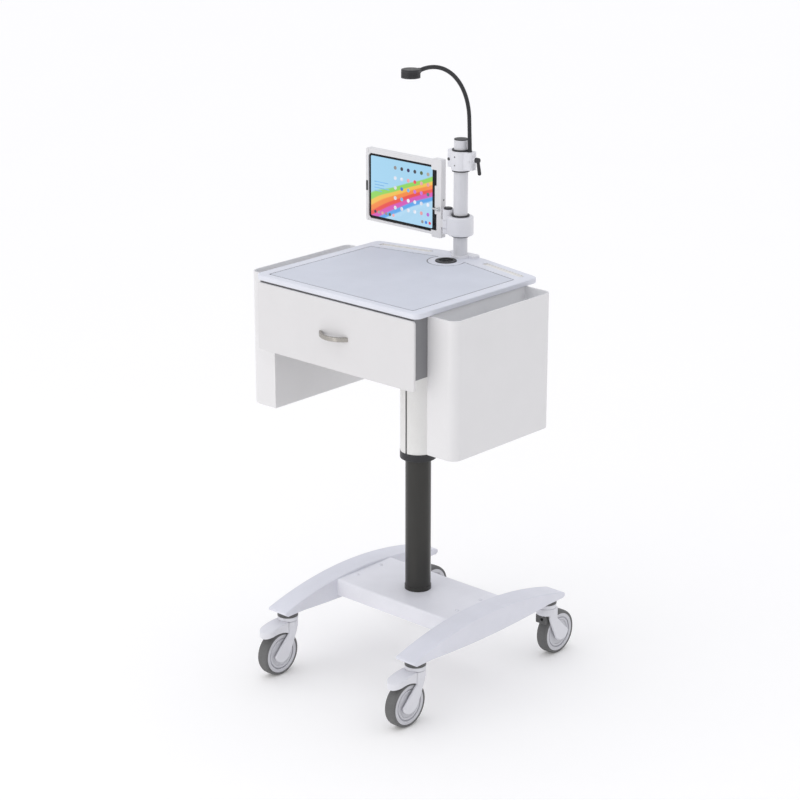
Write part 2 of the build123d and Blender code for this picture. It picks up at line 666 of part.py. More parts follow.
def side_bin():
    """Open-topped bin on the right, with rounded corners on its outer side."""
    outer = box((BIN_INNER_X, BIN_OUTER_X), (BIN_FRONT_Y, BIN_BACK_Y), (BIN_BOTTOM_Z, BIN_TOP_Z))
    outer = round_bin_corners(outer, 0)
    outer = fillet(outer.faces().sort_by(Axis.Z)[0].edges(), BIN_FLOOR_EDGE_R)
    inner = box((BIN_INNER_X + BIN_WALL, BIN_OUTER_X - BIN_WALL),
                (BIN_FRONT_Y + BIN_WALL, BIN_BACK_Y - BIN_WALL), (BIN_BOTTOM_Z + BIN_WALL, BIN_TOP_Z + CUT))
    return outer - round_bin_corners(inner, BIN_WALL)


def drawer_box():
    """Open-topped metal box between the slides."""
    half = CABINET_HALF_X - CABINET_WALL - 2 * RAIL_THICK - FREE_GAP
    body = box(around(0, half), (FRONT_BACK_Y, DRAWER_BACK_Y), (DRAWER_BOTTOM_Z, DRAWER_TOP_Z))
    return body - box(around(0, half - DRAWER_WALL), (FRONT_BACK_Y + DRAWER_WALL, DRAWER_BACK_Y - DRAWER_WALL),
                      (DRAWER_BOTTOM_Z + DRAWER_WALL, DRAWER_TOP_Z + CUT))


def drawer_front():
    panel = box(around(0, FRONT_HALF_X), (TOP_FRONT_Y, FRONT_BACK_Y), (FRONT_BOTTOM_Z, FRONT_TOP_Z))
    panel = fillet(panel.edges().filter_by(Axis.Y), FRONT_CORNER_R)
    return fillet(panel.faces().sort_by(Axis.Y)[0].edges(), FRONT_EDGE_R)


def drawer_handle():
    """Flat arched bow pull that meets the drawer front at both ends."""
    face, crest = TOP_FRONT_Y, TOP_FRONT_Y - HANDLE_REACH
    wide, narrow = HANDLE_SPACING / 2 + HANDLE_THICK, HANDLE_SPACING / 2 - HANDLE_THICK
    outer = ThreePointArc((-wide, face), (0, crest), (wide, face))
    inner = ThreePointArc((narrow, face), (0, crest + HANDLE_THICK), (-narrow, face))
    feet = [Line((wide, face), (narrow, face)), Line((-narrow, face), (-wide, face))]
    bow = make_face([outer, feet[0], inner, feet[1]])
    handle = Pos(0, 0, HANDLE_Z - HANDLE_HEIGHT / 2) * extrude(bow, HANDLE_HEIGHT)
    return fillet(handle.edges().filter_by(GeomType.CIRCLE), 2)


# ---- mast and tablet arm -----------------------------------------------------------------------

def mast_plate():
    """Foot of the mast: a bar along the worktop's rear edge with a round boss in front of it."""
    z, at = (TOP_Z, TOP_Z + PLATE_THICK), (0, MAST_Y)
    bar = box(around(0, PLATE_HALF_X), (PLATE_FRONT_Y, TOP_BACK_Y + 1), z)
    plate = fillet(upright_edges(bar), PLATE_CORNER_R) + post(PLATE_BOSS_R, z, at)
    plate = fillet(top_edges(plate), 1.5)
    return plate - post(MAST_R, (z[0] - CUT, z[1] + CUT), at)


def mast():
    return tube(MAST_R, MAST_BORE_R, (TOP_Z, MAST_TOP_Z), (0, MAST_Y))


def mast_cap():
    at = (0, MAST_Y)
    cap = post(MAST_R, (MAST_TOP_Z, MAST_CAP_TOP_Z), at)
    cap = fillet(top_edges(cap), 1)
    return cap + post(MAST_BORE_R, (MAST_TOP_Z - CAP_GRIP, MAST_TOP_Z), at)


def mast_bush(radius, bottom, top):
    """Black sleeve on the mast with a flange beyond each end of the piece that turns on it."""
    at, bore = (0, MAST_Y), MAST_R + RUN_GAP
    low, high = bottom - FREE_GAP - FLANGE_THICK, top + FREE_GAP + FLANGE_THICK
    bush = tube(radius, bore, (low, high), at)
    for z in ((low, low + FLANGE_THICK), (high - FLANGE_THICK, high)):
        bush += tube(FLANGE_R, bore, z, at)
    return bush


def arm_bush():
    return mast_bush(BUSH_R, ARM_BOTTOM_Z, ARM_TOP_Z)


def arm_link():
    """Short casting from the mast barrel to the pivot barrel, slotted for the holder's tongue."""
    at, pivot = (0, MAST_Y), (PIVOT_X, PIVOT_Y)
    through = (ARM_BOTTOM_Z - CUT, PIVOT_TOP_Z + CUT)
    body = post(ARM_BARREL_R, (ARM_BOTTOM_Z, ARM_TOP_Z), at)
    body = fillet(body.edges().filter_by(GeomType.CIRCLE), ARM_EDGE_R)
    web = Box(math.dist(at, pivot), 2 * PIVOT_BARREL_R, ARM_TOP_Z - ARM_BOTTOM_Z - 4)
    turn = math.degrees(math.atan2(MAST_Y - PIVOT_Y, -PIVOT_X))
    body += Pos(PIVOT_X / 2, (MAST_Y + PIVOT_Y) / 2, (ARM_BOTTOM_Z + ARM_TOP_Z) / 2) * Rot(0, 0, turn) * web
    body += post(PIVOT_BARREL_R, (ARM_BOTTOM_Z, PIVOT_TOP_Z), pivot)
    body -= post(BUSH_R + RUN_GAP, through, at)
    body -= post(FLANGE_R + FREE_GAP, (ARM_TOP_Z, through[1]), at)
    body -= post(TONGUE_SLOT_R, (TONGUE_BOTTOM_Z - FREE_GAP, TONGUE_TOP_Z + FREE_GAP), pivot)
    return body - post(PIVOT_PIN_R, through, pivot)


def arm_pivot_pin():
    """Pivot pin with its black cap, fixed in the arm."""
    pivot = (PIVOT_X, PIVOT_Y)
    cap = post(PIVOT_CAP_R, (PIVOT_TOP_Z, PIVOT_TOP_Z + PIVOT_CAP_HEIGHT), pivot)
    return fillet(top_edges(cap), 1.5) + post(PIVOT_PIN_R, (ARM_BOTTOM_Z, PIVOT_TOP_Z), pivot)


HOLDER_BACK_Y = HOLDER_FRONT_Y + HOLDER_DEPTH
TABLET_BACK_Y = HOLDER_FRONT_Y + TABLET_SET_BACK + TABLET_THICK


def holder_pocket():
    """Space for the tablet, open in front and to the left; a rest narrows it at the right."""
    y, z = (HOLDER_FRONT_Y - CUT, TABLET_BACK_Y), (TABLET_BOTTOM_Z - TRAY_SLACK, TABLET_TOP_Z + TRAY_SLACK)
    pocket = box((JAW_RIGHT_X - CUT, RECESS_RIGHT_X), y, z)
    rest = box((TABLET_RIGHT_X + TRAY_SLACK, RECESS_RIGHT_X), y, (REST_BOTTOM_Z, REST_TOP_Z))
    tab_x, tab_y = (TAB_LEFT_X, RECESS_RIGHT_X), (HOLDER_FRONT_Y, HOLDER_FRONT_Y + TAB_THICK)
    top_tab = box(tab_x, tab_y, (z[1] - TAB_TOP_HEIGHT, z[1]))
    bottom_tab = box(tab_x, tab_y, (z[0], z[0] + TAB_BOTTOM_HEIGHT))
    return pocket - rest - top_tab - bottom_tab


def holder_frame():
    """White tray with a rim round the tablet, a lock housing at its right end and a pivot tongue."""
    pivot = (PIVOT_X, PIVOT_Y)
    body = box((JAW_RIGHT_X + 1, HOUSING_LEFT_X), (HOLDER_FRONT_Y, HOLDER_BACK_Y),
               (HOLDER_BOTTOM_Z, HOLDER_TOP_Z))
    housing = box((HOUSING_LEFT_X, HOUSING_RIGHT_X), (HOLDER_FRONT_Y, HOLDER_BACK_Y + 1),
                  (HOUSING_BOTTOM_Z, HOUSING_TOP_Z))
    body += fillet(housing.edges().filter_by(Axis.Y), HOUSING_CORNER_R)
    body -= holder_pocket()
    body -= bar_y(LOCK_R, LOCK_X, (HOLDER_FRONT_Y - CUT, HOLDER_FRONT_Y + LOCK_DEPTH), LOCK_Z)
    z = (TONGUE_BOTTOM_Z, TONGUE_TOP_Z)
    tongue = box((HOUSING_RIGHT_X - CUT, PIVOT_X), (PIVOT_Y - TONGUE_FRONT, PIVOT_Y + TONGUE_BACK), z)
    tongue += post(TONGUE_R, z, pivot)
    tongue -= post(PIVOT_PIN_R + RUN_GAP, (z[0] - CUT, z[1] + CUT), pivot)
    return body + tongue


def jaw_gusset(z, inwards):
    """Triangular tab of the jaw in front of one left-hand corner of the glass."""
    left = JAW_RIGHT_X - CUT
    corner = Polyline((left, z), (left + GUSSET, z), (left, z + inwards * GUSSET), close=True)
    face = Plane.XZ.offset(-HOLDER_FRONT_Y) * make_face(corner)
    return extrude(face, -TAB_THICK)


def holder_jaw():
    """Left end of the holder: a bar that slides out, guided by a strip behind the tray."""
    bar = box((HOLDER_LEFT_X, JAW_RIGHT_X), (HOLDER_FRONT_Y, HOLDER_BACK_Y), (HOLDER_BOTTOM_Z, HOLDER_TOP_Z))
    bar = fillet(bar.edges().filter_by(Axis.Y).group_by(Axis.X)[0], JAW_CORNER_R)
    strip_z, strip_back = (STRIP_BOTTOM_Z, STRIP_TOP_Z), HOLDER_BACK_Y + FREE_GAP + STRIP_THICK
    left = HOLDER_LEFT_X + 4
    bar += box((left, left + STRIP_LENGTH), (HOLDER_BACK_Y + FREE_GAP, strip_back), strip_z)
    bar += box((left, JAW_RIGHT_X - CUT), (HOLDER_BACK_Y - CUT, strip_back), strip_z)
    return bar + jaw_gusset(TABLET_TOP_Z + TRAY_SLACK, -1) + jaw_gusset(TABLET_BOTTOM_Z - TRAY_SLACK, 1)


def tablet_layer(y):
    """Rounded rectangle of the tablet's outline between two depths."""
    layer = box((TABLET_LEFT_X, TABLET_RIGHT_X), y, (TABLET_BOTTOM_Z, TABLET_TOP_Z))
    return fillet(layer.edges().filter_by(Axis.Y), TABLET_CORNER_R)


def tablet_body():
    return tablet_layer((HOLDER_FRONT_Y + TABLET_SET_BACK, TABLET_BACK_Y))


def tablet_glass():
    front = HOLDER_FRONT_Y + TABLET_SET_BACK
    return tablet_layer((front - GLASS_THICK, front))


def lock_cylinder():
    """Key lock in the holder's housing, turning about its own axis."""
    nose_y = HOLDER_FRONT_Y - LOCK_NOSE
    barrel = bar_y(LOCK_R - RUN_GAP, LOCK_X, (nose_y, HOLDER_FRONT_Y + LOCK_DEPTH - FREE_GAP), LOCK_Z)
    return barrel - box(around(LOCK_X, KEY_SLOT_WIDTH / 2), (nose_y - CUT, HOLDER_FRONT_Y),
                        around(LOCK_Z, KEY_SLOT_LENGTH / 2))


# ---- lamp clamp, gooseneck and head ------------------------------------------------------------

def clamp_bush():
    return mast_bush(CLAMP_BORE_R - RUN_GAP, CLAMP_BOTTOM_Z, CLAMP_TOP_Z)


def clamp_body():
    """Split clamp: a barrel with a bolt ear on the left and a lever ear on the right."""
    body = post(CLAMP_R, (CLAMP_BOTTOM_Z, CLAMP_TOP_Z), (0, MAST_Y))
    left = box((EAR_LEFT_X, 0), around(MAST_Y, EAR_LEFT_HALF_Y), (CLAMP_BOTTOM_Z + 4, CLAMP_TOP_Z - 1))
    body += fillet(upright_edges(left).group_by(Axis.X)[0], EAR_LEFT_CORNER_R)
    right = box((0, EAR_RIGHT_X), around(MAST_Y, EAR_RIGHT_HALF_Y), (CLAMP_BOTTOM_Z + 4, CLAMP_TOP_Z))
    body += fillet(upright_edges(right).group_by(Axis.X)[-1], EAR_RIGHT_CORNER_R)
    body += bar_x(LEVER_BOSS_R, (EAR_RIGHT_X - CUT, LEVER_X), MAST_Y, LEVER_Z)
    body -= post(CLAMP_BORE_R, (CLAMP_BOTTOM_Z - CUT, CLAMP_TOP_Z + CUT), (0, MAST_Y))
    return body - bar_x(STUD_R + RUN_GAP, (LEVER_X - STUD_GRIP - CUT, LEVER_X + CUT), MAST_Y, LEVER_Z)


def clamp_lever():
    """Ratchet lever: stud, hub and a tapered handle hanging from the hub."""
    hub_x = (LEVER_X + FREE_GAP, LEVER_X + FREE_GAP + LEVER_HUB_LENGTH)
    stud = bar_x(STUD_R, (LEVER_X - STUD_GRIP, hub_x[0] + CUT), MAST_Y, LEVER_Z)
    hub = bar_x(LEVER_HUB_R, hub_x, MAST_Y, LEVER_Z)
    hub = fillet(hub.edges().filter_by(GeomType.CIRCLE).group_by(Axis.X)[-1], 1.5)
    root = Plane((sum(hub_x) / 2 + 1, MAST_Y, LEVER_Z), z_dir=(LEVER_SPLAY, 0, -1))
    handle = loft([root * Circle(LEVER_ROOT_R), root.offset(LEVER_LENGTH) * Circle(LEVER_TIP_R)])
    tip = Pos(*(root.origin + root.z_dir * LEVER_LENGTH)) * Sphere(LEVER_TIP_R)
    return stud + hub + handle + tip


def neck_y(z):
    """Y of the leaning lower run at a height."""
    return MAST_Y - (z - CLAMP_TOP_Z) * math.tan(math.radians(NECK_LEAN))


def neck_arc_point(degrees):
    """Point on the neck's arc, at an angle above its centre's level."""
    start_y, lean = neck_y(NECK_ARC_Z), math.radians(NECK_LEAN)
    centre_y, centre_z = start_y - NECK_ARC_R * math.cos(lean), NECK_ARC_Z - NECK_ARC_R * math.sin(lean)
    turn = math.radians(degrees)
    return (NECK_X, centre_y + NECK_ARC_R * math.cos(turn), centre_z + NECK_ARC_R * math.sin(turn))


def neck_tip():
    """Centre of the ball end, on a short straight run past the arc."""
    end, droop = neck_arc_point(90 + NECK_DROOP), math.radians(NECK_DROOP)
    reach = end[1] - (HEAD_Y + HEAD_R + NECK_R + 1)
    return (NECK_X, end[1] - reach, end[2] - reach * math.tan(droop))


def gooseneck_lower():
    """Ferrule and the short leaning run up to the place where the neck is bent."""
    ferrule = post(FERRULE_R, (CLAMP_TOP_Z, CLAMP_TOP_Z + FERRULE_HEIGHT), (NECK_X, MAST_Y))
    foot_z, top_z = CLAMP_TOP_Z + FERRULE_HEIGHT / 2, NECK_BEND_Z - NECK_R - FREE_GAP
    foot = (NECK_X, neck_y(foot_z), foot_z)
    run = Line(foot, (NECK_X, neck_y(top_z), top_z))
    return ferrule + sweep(Plane(origin=foot, z_dir=run % 0) * Circle(NECK_R), path=run)


def gooseneck_upper():
    """Ball end at the bend, leaning run, arc forward, short fall to the lamp, ball end."""
    bend, tip = (NECK_X, neck_y(NECK_BEND_Z), NECK_BEND_Z), neck_tip()
    start, middle, end = (neck_arc_point(turn) for turn in (NECK_LEAN, 60, 90 + NECK_DROOP))
    path = Wire([Line(bend, start), ThreePointArc(start, middle, end), Line(end, tip)])
    stem = sweep(Plane(origin=bend, z_dir=path % 0) * Circle(NECK_R), path=path)
    return stem + Pos(*bend) * Sphere(NECK_R) + Pos(*tip) * Sphere(NECK_R)


def lamp_head():
    """Round lamp housing, open below for the lens, with cooling grooves round its side."""
    at = (NECK_X, HEAD_Y)
    body = post(HEAD_R, (HEAD_BOTTOM_Z, HEAD_TOP_Z), at)
    body = fillet(top_edges(body), 2.5)
    body -= post(HEAD_R - HEAD_WALL, (HEAD_BOTTOM_Z - CUT, HEAD_BOTTOM_Z + HEAD_WALL), at)
    for step in range(HEAD_GROOVES):
        z = HEAD_BOTTOM_Z + GROOVE_FIRST + GROOVE_PITCH * step
        body -= tube(HEAD_R + CUT, HEAD_R - GROOVE_DEPTH, (z, z + GROOVE_WIDTH), at)
    return body


def lamp_lens():
    top = HEAD_BOTTOM_Z + HEAD_WALL
    return post(HEAD_R - HEAD_WALL, (top - LENS_THICK, top), (NECK_X, HEAD_Y))


# ---- every node --------------------------------------------------------------------------------

nodes = {
    "base_beam": base_beam(), "left_leg": leg(-1), "right_leg": leg(1), "base_screws": base_screws(),
    "caster_stems": caster_stems(), "column_tube": column_tube(), "column_guide": column_guide(),
    "gas_spring_body": gas_spring_body(), "column_sleeve": column_sleeve(), "column_collar": column_collar(),
    "gas_spring_rod": gas_spring_rod(), "cabinet": cabinet(), "cabinet_rails": cabinet_rails(),
    "tabletop": tabletop(), "worktop_mat": worktop_mat(), "cable_grommet": cable_grommet(),
    "left_bin": mirrored(side_bin()), "right_bin": side_bin(), "mast_plate": mast_plate(), "mast": mast(),
    "mast_cap": mast_cap(), "drawer_box": drawer_box(), "drawer_front": drawer_front(),
    "drawer_handle": drawer_handle(), "drawer_rails": drawer_rails(), "arm_bush": arm_bush(),
    "arm_link": arm_link(), "arm_pivot_pin": arm_pivot_pin(), "holder_frame": holder_frame(),
    "holder_jaw": holder_jaw(), "tablet_body": tablet_body(), "tablet_glass": tablet_glass(),
    "lock_cylinder": lock_cylinder(), "clamp_bush": clamp_bush(), "clamp_body": clamp_body(),
    "clamp_lever": clamp_lever(), "gooseneck_lower": gooseneck_lower(), "gooseneck_upper": gooseneck_upper(),
    "lamp_head": lamp_head(), "lamp_lens": lamp_lens(),
}
for name, at in CASTERS.items():
    nodes[f"{name}_fork"] = caster_fork(at)
    nodes[f"{name}_tyre"] = caster_tyre(at)
    nodes[f"{name}_hub"] = caster_hub(at)
    nodes[f"{name}_axle"] = caster_axle(at)
    if at[1] < 0:
        nodes[f"{name}_brake_pedal"] = brake_pedal(at)
    else:
        nodes[f"{name}_brake_block"] = brake_block(at)

for name, shape in nodes.items():
    export_step(shape, f"parts/{name}.step")
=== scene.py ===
import json
import math
import random

import bmesh
import bpy
from mathutils import Matrix, Vector


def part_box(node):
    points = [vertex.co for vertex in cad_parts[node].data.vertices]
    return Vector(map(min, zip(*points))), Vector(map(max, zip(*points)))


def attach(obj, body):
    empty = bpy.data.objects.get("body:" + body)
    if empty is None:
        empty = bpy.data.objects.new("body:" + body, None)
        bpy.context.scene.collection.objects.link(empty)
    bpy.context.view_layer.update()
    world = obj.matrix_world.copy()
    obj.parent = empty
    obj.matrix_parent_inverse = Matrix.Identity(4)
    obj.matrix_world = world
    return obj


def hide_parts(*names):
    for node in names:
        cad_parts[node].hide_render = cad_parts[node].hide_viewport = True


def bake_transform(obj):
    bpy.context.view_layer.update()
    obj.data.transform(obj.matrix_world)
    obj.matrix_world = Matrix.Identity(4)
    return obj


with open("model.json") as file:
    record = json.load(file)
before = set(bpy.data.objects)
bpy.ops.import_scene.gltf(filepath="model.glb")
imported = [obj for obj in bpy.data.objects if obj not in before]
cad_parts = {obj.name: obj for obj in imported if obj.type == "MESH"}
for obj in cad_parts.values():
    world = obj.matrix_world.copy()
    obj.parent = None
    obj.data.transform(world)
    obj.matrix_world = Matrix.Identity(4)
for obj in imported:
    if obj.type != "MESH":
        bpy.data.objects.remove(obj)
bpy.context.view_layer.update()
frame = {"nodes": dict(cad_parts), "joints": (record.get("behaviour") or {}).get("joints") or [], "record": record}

# Looks of a mobile tablet and equipment cart. Metres, +Z up, -Y the front. The frame gives every
# place; the names below are sizes of details and finishes that it doesn't hold.

MM = 0.001
X, Y, Z = Vector((1, 0, 0)), Vector((0, 1, 0)), Vector((0, 0, 1))
JOINTS = {joint["name"]: joint for joint in frame["joints"]}


# ---- camera ------------------------------------------------------------------------------------

CAMERA_PLACE = (3.8418, -4.2831, 2.6926)
CAMERA_AZIMUTH = math.radians(42.381)
CAMERA_ELEVATION = math.radians(18.518)
CAMERA_LENS = 102.29
CAMERA_CLIP = (0.1, 200)


def make_camera():
    """Camera at its place, aimed by its azimuth and elevation, with no roll."""
    data = bpy.data.cameras.new("camera")
    data.lens = CAMERA_LENS
    data.clip_start, data.clip_end = CAMERA_CLIP
    camera = bpy.data.objects.new("camera", data)
    bpy.context.scene.collection.objects.link(camera)
    level = math.cos(CAMERA_ELEVATION)
    back = Vector((math.sin(CAMERA_AZIMUTH) * level, -math.cos(CAMERA_AZIMUTH) * level,
                   math.sin(CAMERA_ELEVATION)))
    camera.location = CAMERA_PLACE
    camera.rotation_mode = "QUATERNION"
    camera.rotation_quaternion = (-back).to_track_quat("-Z", "Y")
    bpy.context.scene.camera = camera


make_camera()


# ---- materials ---------------------------------------------------------------------------------

WHITE_COAT = (0.745, 0.75, 0.815)
WHITE_PLASTIC = (0.77, 0.762, 0.768)
# painted shade: darker copy of the shell plastic's white, for the drawer front
DRAWER_WHITE_PAINTED_SHADE = (0.705, 0.695, 0.70)
WHITE_BEAM = (0.82, 0.82, 0.87)
WHITE_COLUMN = (0.84, 0.835, 0.82)
WHITE_CASTER = (0.74, 0.74, 0.78)
WHITE_TOP = (0.725, 0.74, 0.805)
WHITE_ARM = (0.765, 0.765, 0.80)
WHITE_MAST = (0.68, 0.68, 0.71)
TRAY_CREAM = (0.80, 0.79, 0.765)
WHEEL_GREY = (0.60, 0.60, 0.635)
MAT_BLUE = (0.64, 0.662, 0.728)
# painted light: lighter colour for the faces inside the bins, whose plastic is one colour inside and out
BIN_HOLLOW_PAINTED_LIGHT = (0.93, 0.93, 0.94)
DARK_TUBE = (0.050, 0.049, 0.046)
CABINET_GREY = (0.23, 0.23, 0.24)
STEM_GREY = (0.11, 0.11, 0.11)
BLACK = (0.018, 0.018, 0.021)
NECK_BLACK = (0.022, 0.022, 0.025)
GLASS_BLACK = (0.006, 0.006, 0.007)
LENS_WHITE, LENS_LIGHT = (0.86, 0.86, 0.84), (1.0, 0.97, 0.9)
RUBBER = (0.140, 0.140, 0.140)
NICKEL = (0.37, 0.352, 0.325)
ZINC = (0.60, 0.61, 0.62)
SHELL_GREY = (0.07, 0.07, 0.075)
SKY = (0.38, 0.68, 0.90)
PALE_SKY = (0.45, 0.72, 0.93)
STRIPES = (((0.28, 0.68, 0.10), 0.09), ((0.92, 0.54, 0.07), 0.07), ((0.93, 0.25, 0.04), 0.08),
           ((0.84, 0.06, 0.045), 0.07), ((0.68, 0.08, 0.48), 0.08), ((0.09, 0.38, 0.85), 0.07))
STRIPE_START = 0.66   # where the first stripe meets the display's left side, from the top
STRIPE_RISE = 0.56    # how far the stripes climb across the display
STRIPE_BLUR = 0.012
STRIPE_SWAY = 0.05
SCREEN_GLOW, MARK_GLOW, LENS_GLOW = 0.92, 0.9, 0.25
SCREEN_ROUGHNESS = 0.12
GLASS_SPECULAR, GLASS_COAT = 0.18, 0.06
BLOTCH_SCALE, PATCH_SCALE = 11.0, 70.0                    # texture scales, in features to the metre
SWAY_SCALE, FADE_SCALE, SMEAR_SCALE, PRISM_SCALE = 9.0, 60.0, 35.0, 500.0
PRISM_DEPTH = 0.3 * MM
BUMP_STRENGTH = 0.6
COAT_ROUGHNESS = 0.25
EDGE_RADIUS = 1.2 * MM
EDGE_DOT = (0.98, 0.80)     # rounded normal against true one, where the lighter edge (scuffs and painted highlight) starts and where it is full
BIN_MIDDLE = (315.5 * MM, -80 * MM)                 # x of the right bin's middle, and y of both
BIN_FLOOR_Z, BIN_RIM_Z = 749.5 * MM, 1110.6 * MM    # just above the floor and just below the rim
HOLLOW_SLACK = 0.5 * MM                             # lets the flat floor count as facing inwards
MARK_COLOURS = {
    "white": (0.80, 0.83, 0.93), "grey": (0.30, 0.28, 0.27), "ink": (0.04, 0.035, 0.05),
    "navy": (0.03, 0.02, 0.12), "leaf": (0.07, 0.12, 0.03), "sand": (0.42, 0.38, 0.30),
    "rose": (0.86, 0.38, 0.40), "red": (0.82, 0.05, 0.09), "blue": (0.03, 0.20, 0.70),
    "azure": (0.20, 0.50, 0.88), "violet": (0.60, 0.18, 0.74), "teal": (0.07, 0.20, 0.23)}


def add(tree, kind, inputs=None, **settings):
    """New node with its settings; an input takes a value or another node's output."""
    node = tree.nodes.new(kind)
    for key, value in settings.items():
        setattr(node, key, value)
    for key, value in (inputs or {}).items():
        if isinstance(value, bpy.types.NodeSocket):
            tree.links.new(value, node.inputs[key])
        else:
            node.inputs[key].default_value = value
    return node


def noise(tree, place, scale, detail):
    """Value of a noise texture."""
    return add(tree, "ShaderNodeTexNoise", {"Vector": place, "Scale": scale, "Detail": detail}).outputs["Fac"]


def maths(tree, operation, *values):
    """Result of a Math node on values or other nodes' outputs."""
    return add(tree, "ShaderNodeMath", dict(enumerate(values)), operation=operation).outputs["Value"]


def blend_colours(tree, factor, first, second):
    """Colour between two others."""
    return add(tree, "ShaderNodeMix", {"Factor": factor, "A": first, "B": second},
               data_type="RGBA").outputs["Result"]


def shaded(tree, colour, value):
    """Colour made lighter or darker by a factor."""
    return add(tree, "ShaderNodeHueSaturation", {"Value": value, "Color": colour}).outputs["Color"]


def fixed(shader, values):
    """Set constant inputs of a shader."""
    for name, value in values.items():
        shader.inputs[name].default_value = value


def new_material(name):
    """Material with its node tree and its Principled shader."""
    material = bpy.data.materials.new(name)
    material.use_nodes = True
    return material, material.node_tree, material.node_tree.nodes["Principled BSDF"]


def spread(tree, factor, low, high, start=0.3, end=0.7):
    """Map a value onto a range. A noise mostly stays between the start and end given here."""
    return add(tree, "ShaderNodeMapRange", {"Value": factor, "From Min": start, "From Max": end,
                                           "To Min": low, "To Max": high}).outputs["Result"]


def edge_mask(tree, radius):
    """Near 1 at an edge and 0 on a flat, from how far a rounded normal leaves the true one."""
    rounded = add(tree, "ShaderNodeBevel", {"Radius": radius}, samples=4).outputs["Normal"]
    true = add(tree, "ShaderNodeNewGeometry").outputs["Normal"]
    dot = add(tree, "ShaderNodeVectorMath", {0: rounded, 1: true}, operation="DOT_PRODUCT")
    return spread(tree, dot.outputs["Value"], 0, 1, *EDGE_DOT)


def hollow_mask(tree, place):
    """1 on the faces that look into the inside of a bin, which get painted light, 0 on its outside and its rim."""
    split = add(tree, "ShaderNodeSeparateXYZ", {"Vector": place}).outputs
    middle_x = maths(tree, "MULTIPLY", maths(tree, "SIGN", split["X"]), BIN_MIDDLE[0])
    middle = add(tree, "ShaderNodeCombineXYZ", {"X": middle_x, "Y": BIN_MIDDLE[1], "Z": split["Z"]})
    inward = add(tree, "ShaderNodeVectorMath", {0: middle.outputs["Vector"], 1: place}, operation="SUBTRACT")
    normal = add(tree, "ShaderNodeTexCoord").outputs["Normal"]
    facing = add(tree, "ShaderNodeVectorMath", {0: inward.outputs["Vector"], 1: normal},
                 operation="DOT_PRODUCT")
    mask = maths(tree, "GREATER_THAN", facing.outputs["Value"], -HOLLOW_SLACK)
    for limit, test in ((BIN_FLOOR_Z, "GREATER_THAN"), (BIN_RIM_Z, "LESS_THAN")):
        mask = maths(tree, "MULTIPLY", mask, maths(tree, test, split["Z"], limit))
    return mask


def surface(name, colour, roughness, grain, depth, metallic=0.0, cells=False, streaks=None, mottle=0.03,
            wear_and_edge_highlight=None, wear_and_highlight_share=0.25, coat=0.0, gloss_spread=0.05, specular=0.5, hollow_painted_light=None):
    """Finish with blotches, a fine grain in its bump, uneven gloss and, where named, lighter edges in patches,
    partly scuffs and partly painted highlight.

    grain is the size of the texture and depth its height, in metres. streaks is how much longer the
    grain is along each axis, for brushed or drawn metal. The colour given for the bins' inner faces is painted
    light: lighter than their outside, though the plastic is one colour."""
    material, tree, shader = new_material(name)
    place = add(tree, "ShaderNodeTexCoord").outputs["Object"]
    stretched = add(tree, "ShaderNodeVectorMath", {0: place, 1: streaks or (1, 1, 1)}, operation="DIVIDE")
    fine = noise(tree, stretched.outputs["Vector"], 1 / grain, 3.0)
    broad = noise(tree, place, BLOTCH_SCALE, 5.0)
    patch = noise(tree, place, PATCH_SCALE, 6.0)
    relief = fine
    if cells:
        relief = add(tree, "ShaderNodeTexVoronoi", {"Vector": place, "Scale": 1 / grain},
                     feature="SMOOTH_F1").outputs["Distance"]
    value = maths(tree, "MULTIPLY", spread(tree, broad, 1 - mottle, 1 + mottle),
                  spread(tree, fine, 1 - mottle, 1 + mottle))
    plain = (*colour, 1)
    # painted light: the bins' inner faces are made lighter than their outside
    if hollow_painted_light:
        plain = blend_colours(tree, hollow_mask(tree, place), plain, (*hollow_painted_light, 1))
    tinted = shaded(tree, plain, value)
    # lighter edges in patches: partly scuffs, partly painted edge highlight
    if wear_and_edge_highlight:
        worn_and_highlit = maths(tree, "MULTIPLY", edge_mask(tree, EDGE_RADIUS), spread(tree, patch, 0, wear_and_highlight_share))
        tinted = blend_colours(tree, worn_and_highlit, tinted, (*wear_and_edge_highlight, 1))
    bump = add(tree, "ShaderNodeBump", {"Height": relief, "Distance": depth, "Strength": BUMP_STRENGTH})
    gloss = spread(tree, patch, roughness - gloss_spread, roughness + gloss_spread)
    tree.links.new(tinted, shader.inputs["Base Color"])
    tree.links.new(gloss, shader.inputs["Roughness"])
    tree.links.new(bump.outputs["Normal"], shader.inputs["Normal"])
    fixed(shader, {"Metallic": metallic, "Specular IOR Level": specular, "Coat Weight": coat,
                   "Coat Roughness": COAT_ROUGHNESS})
    return material


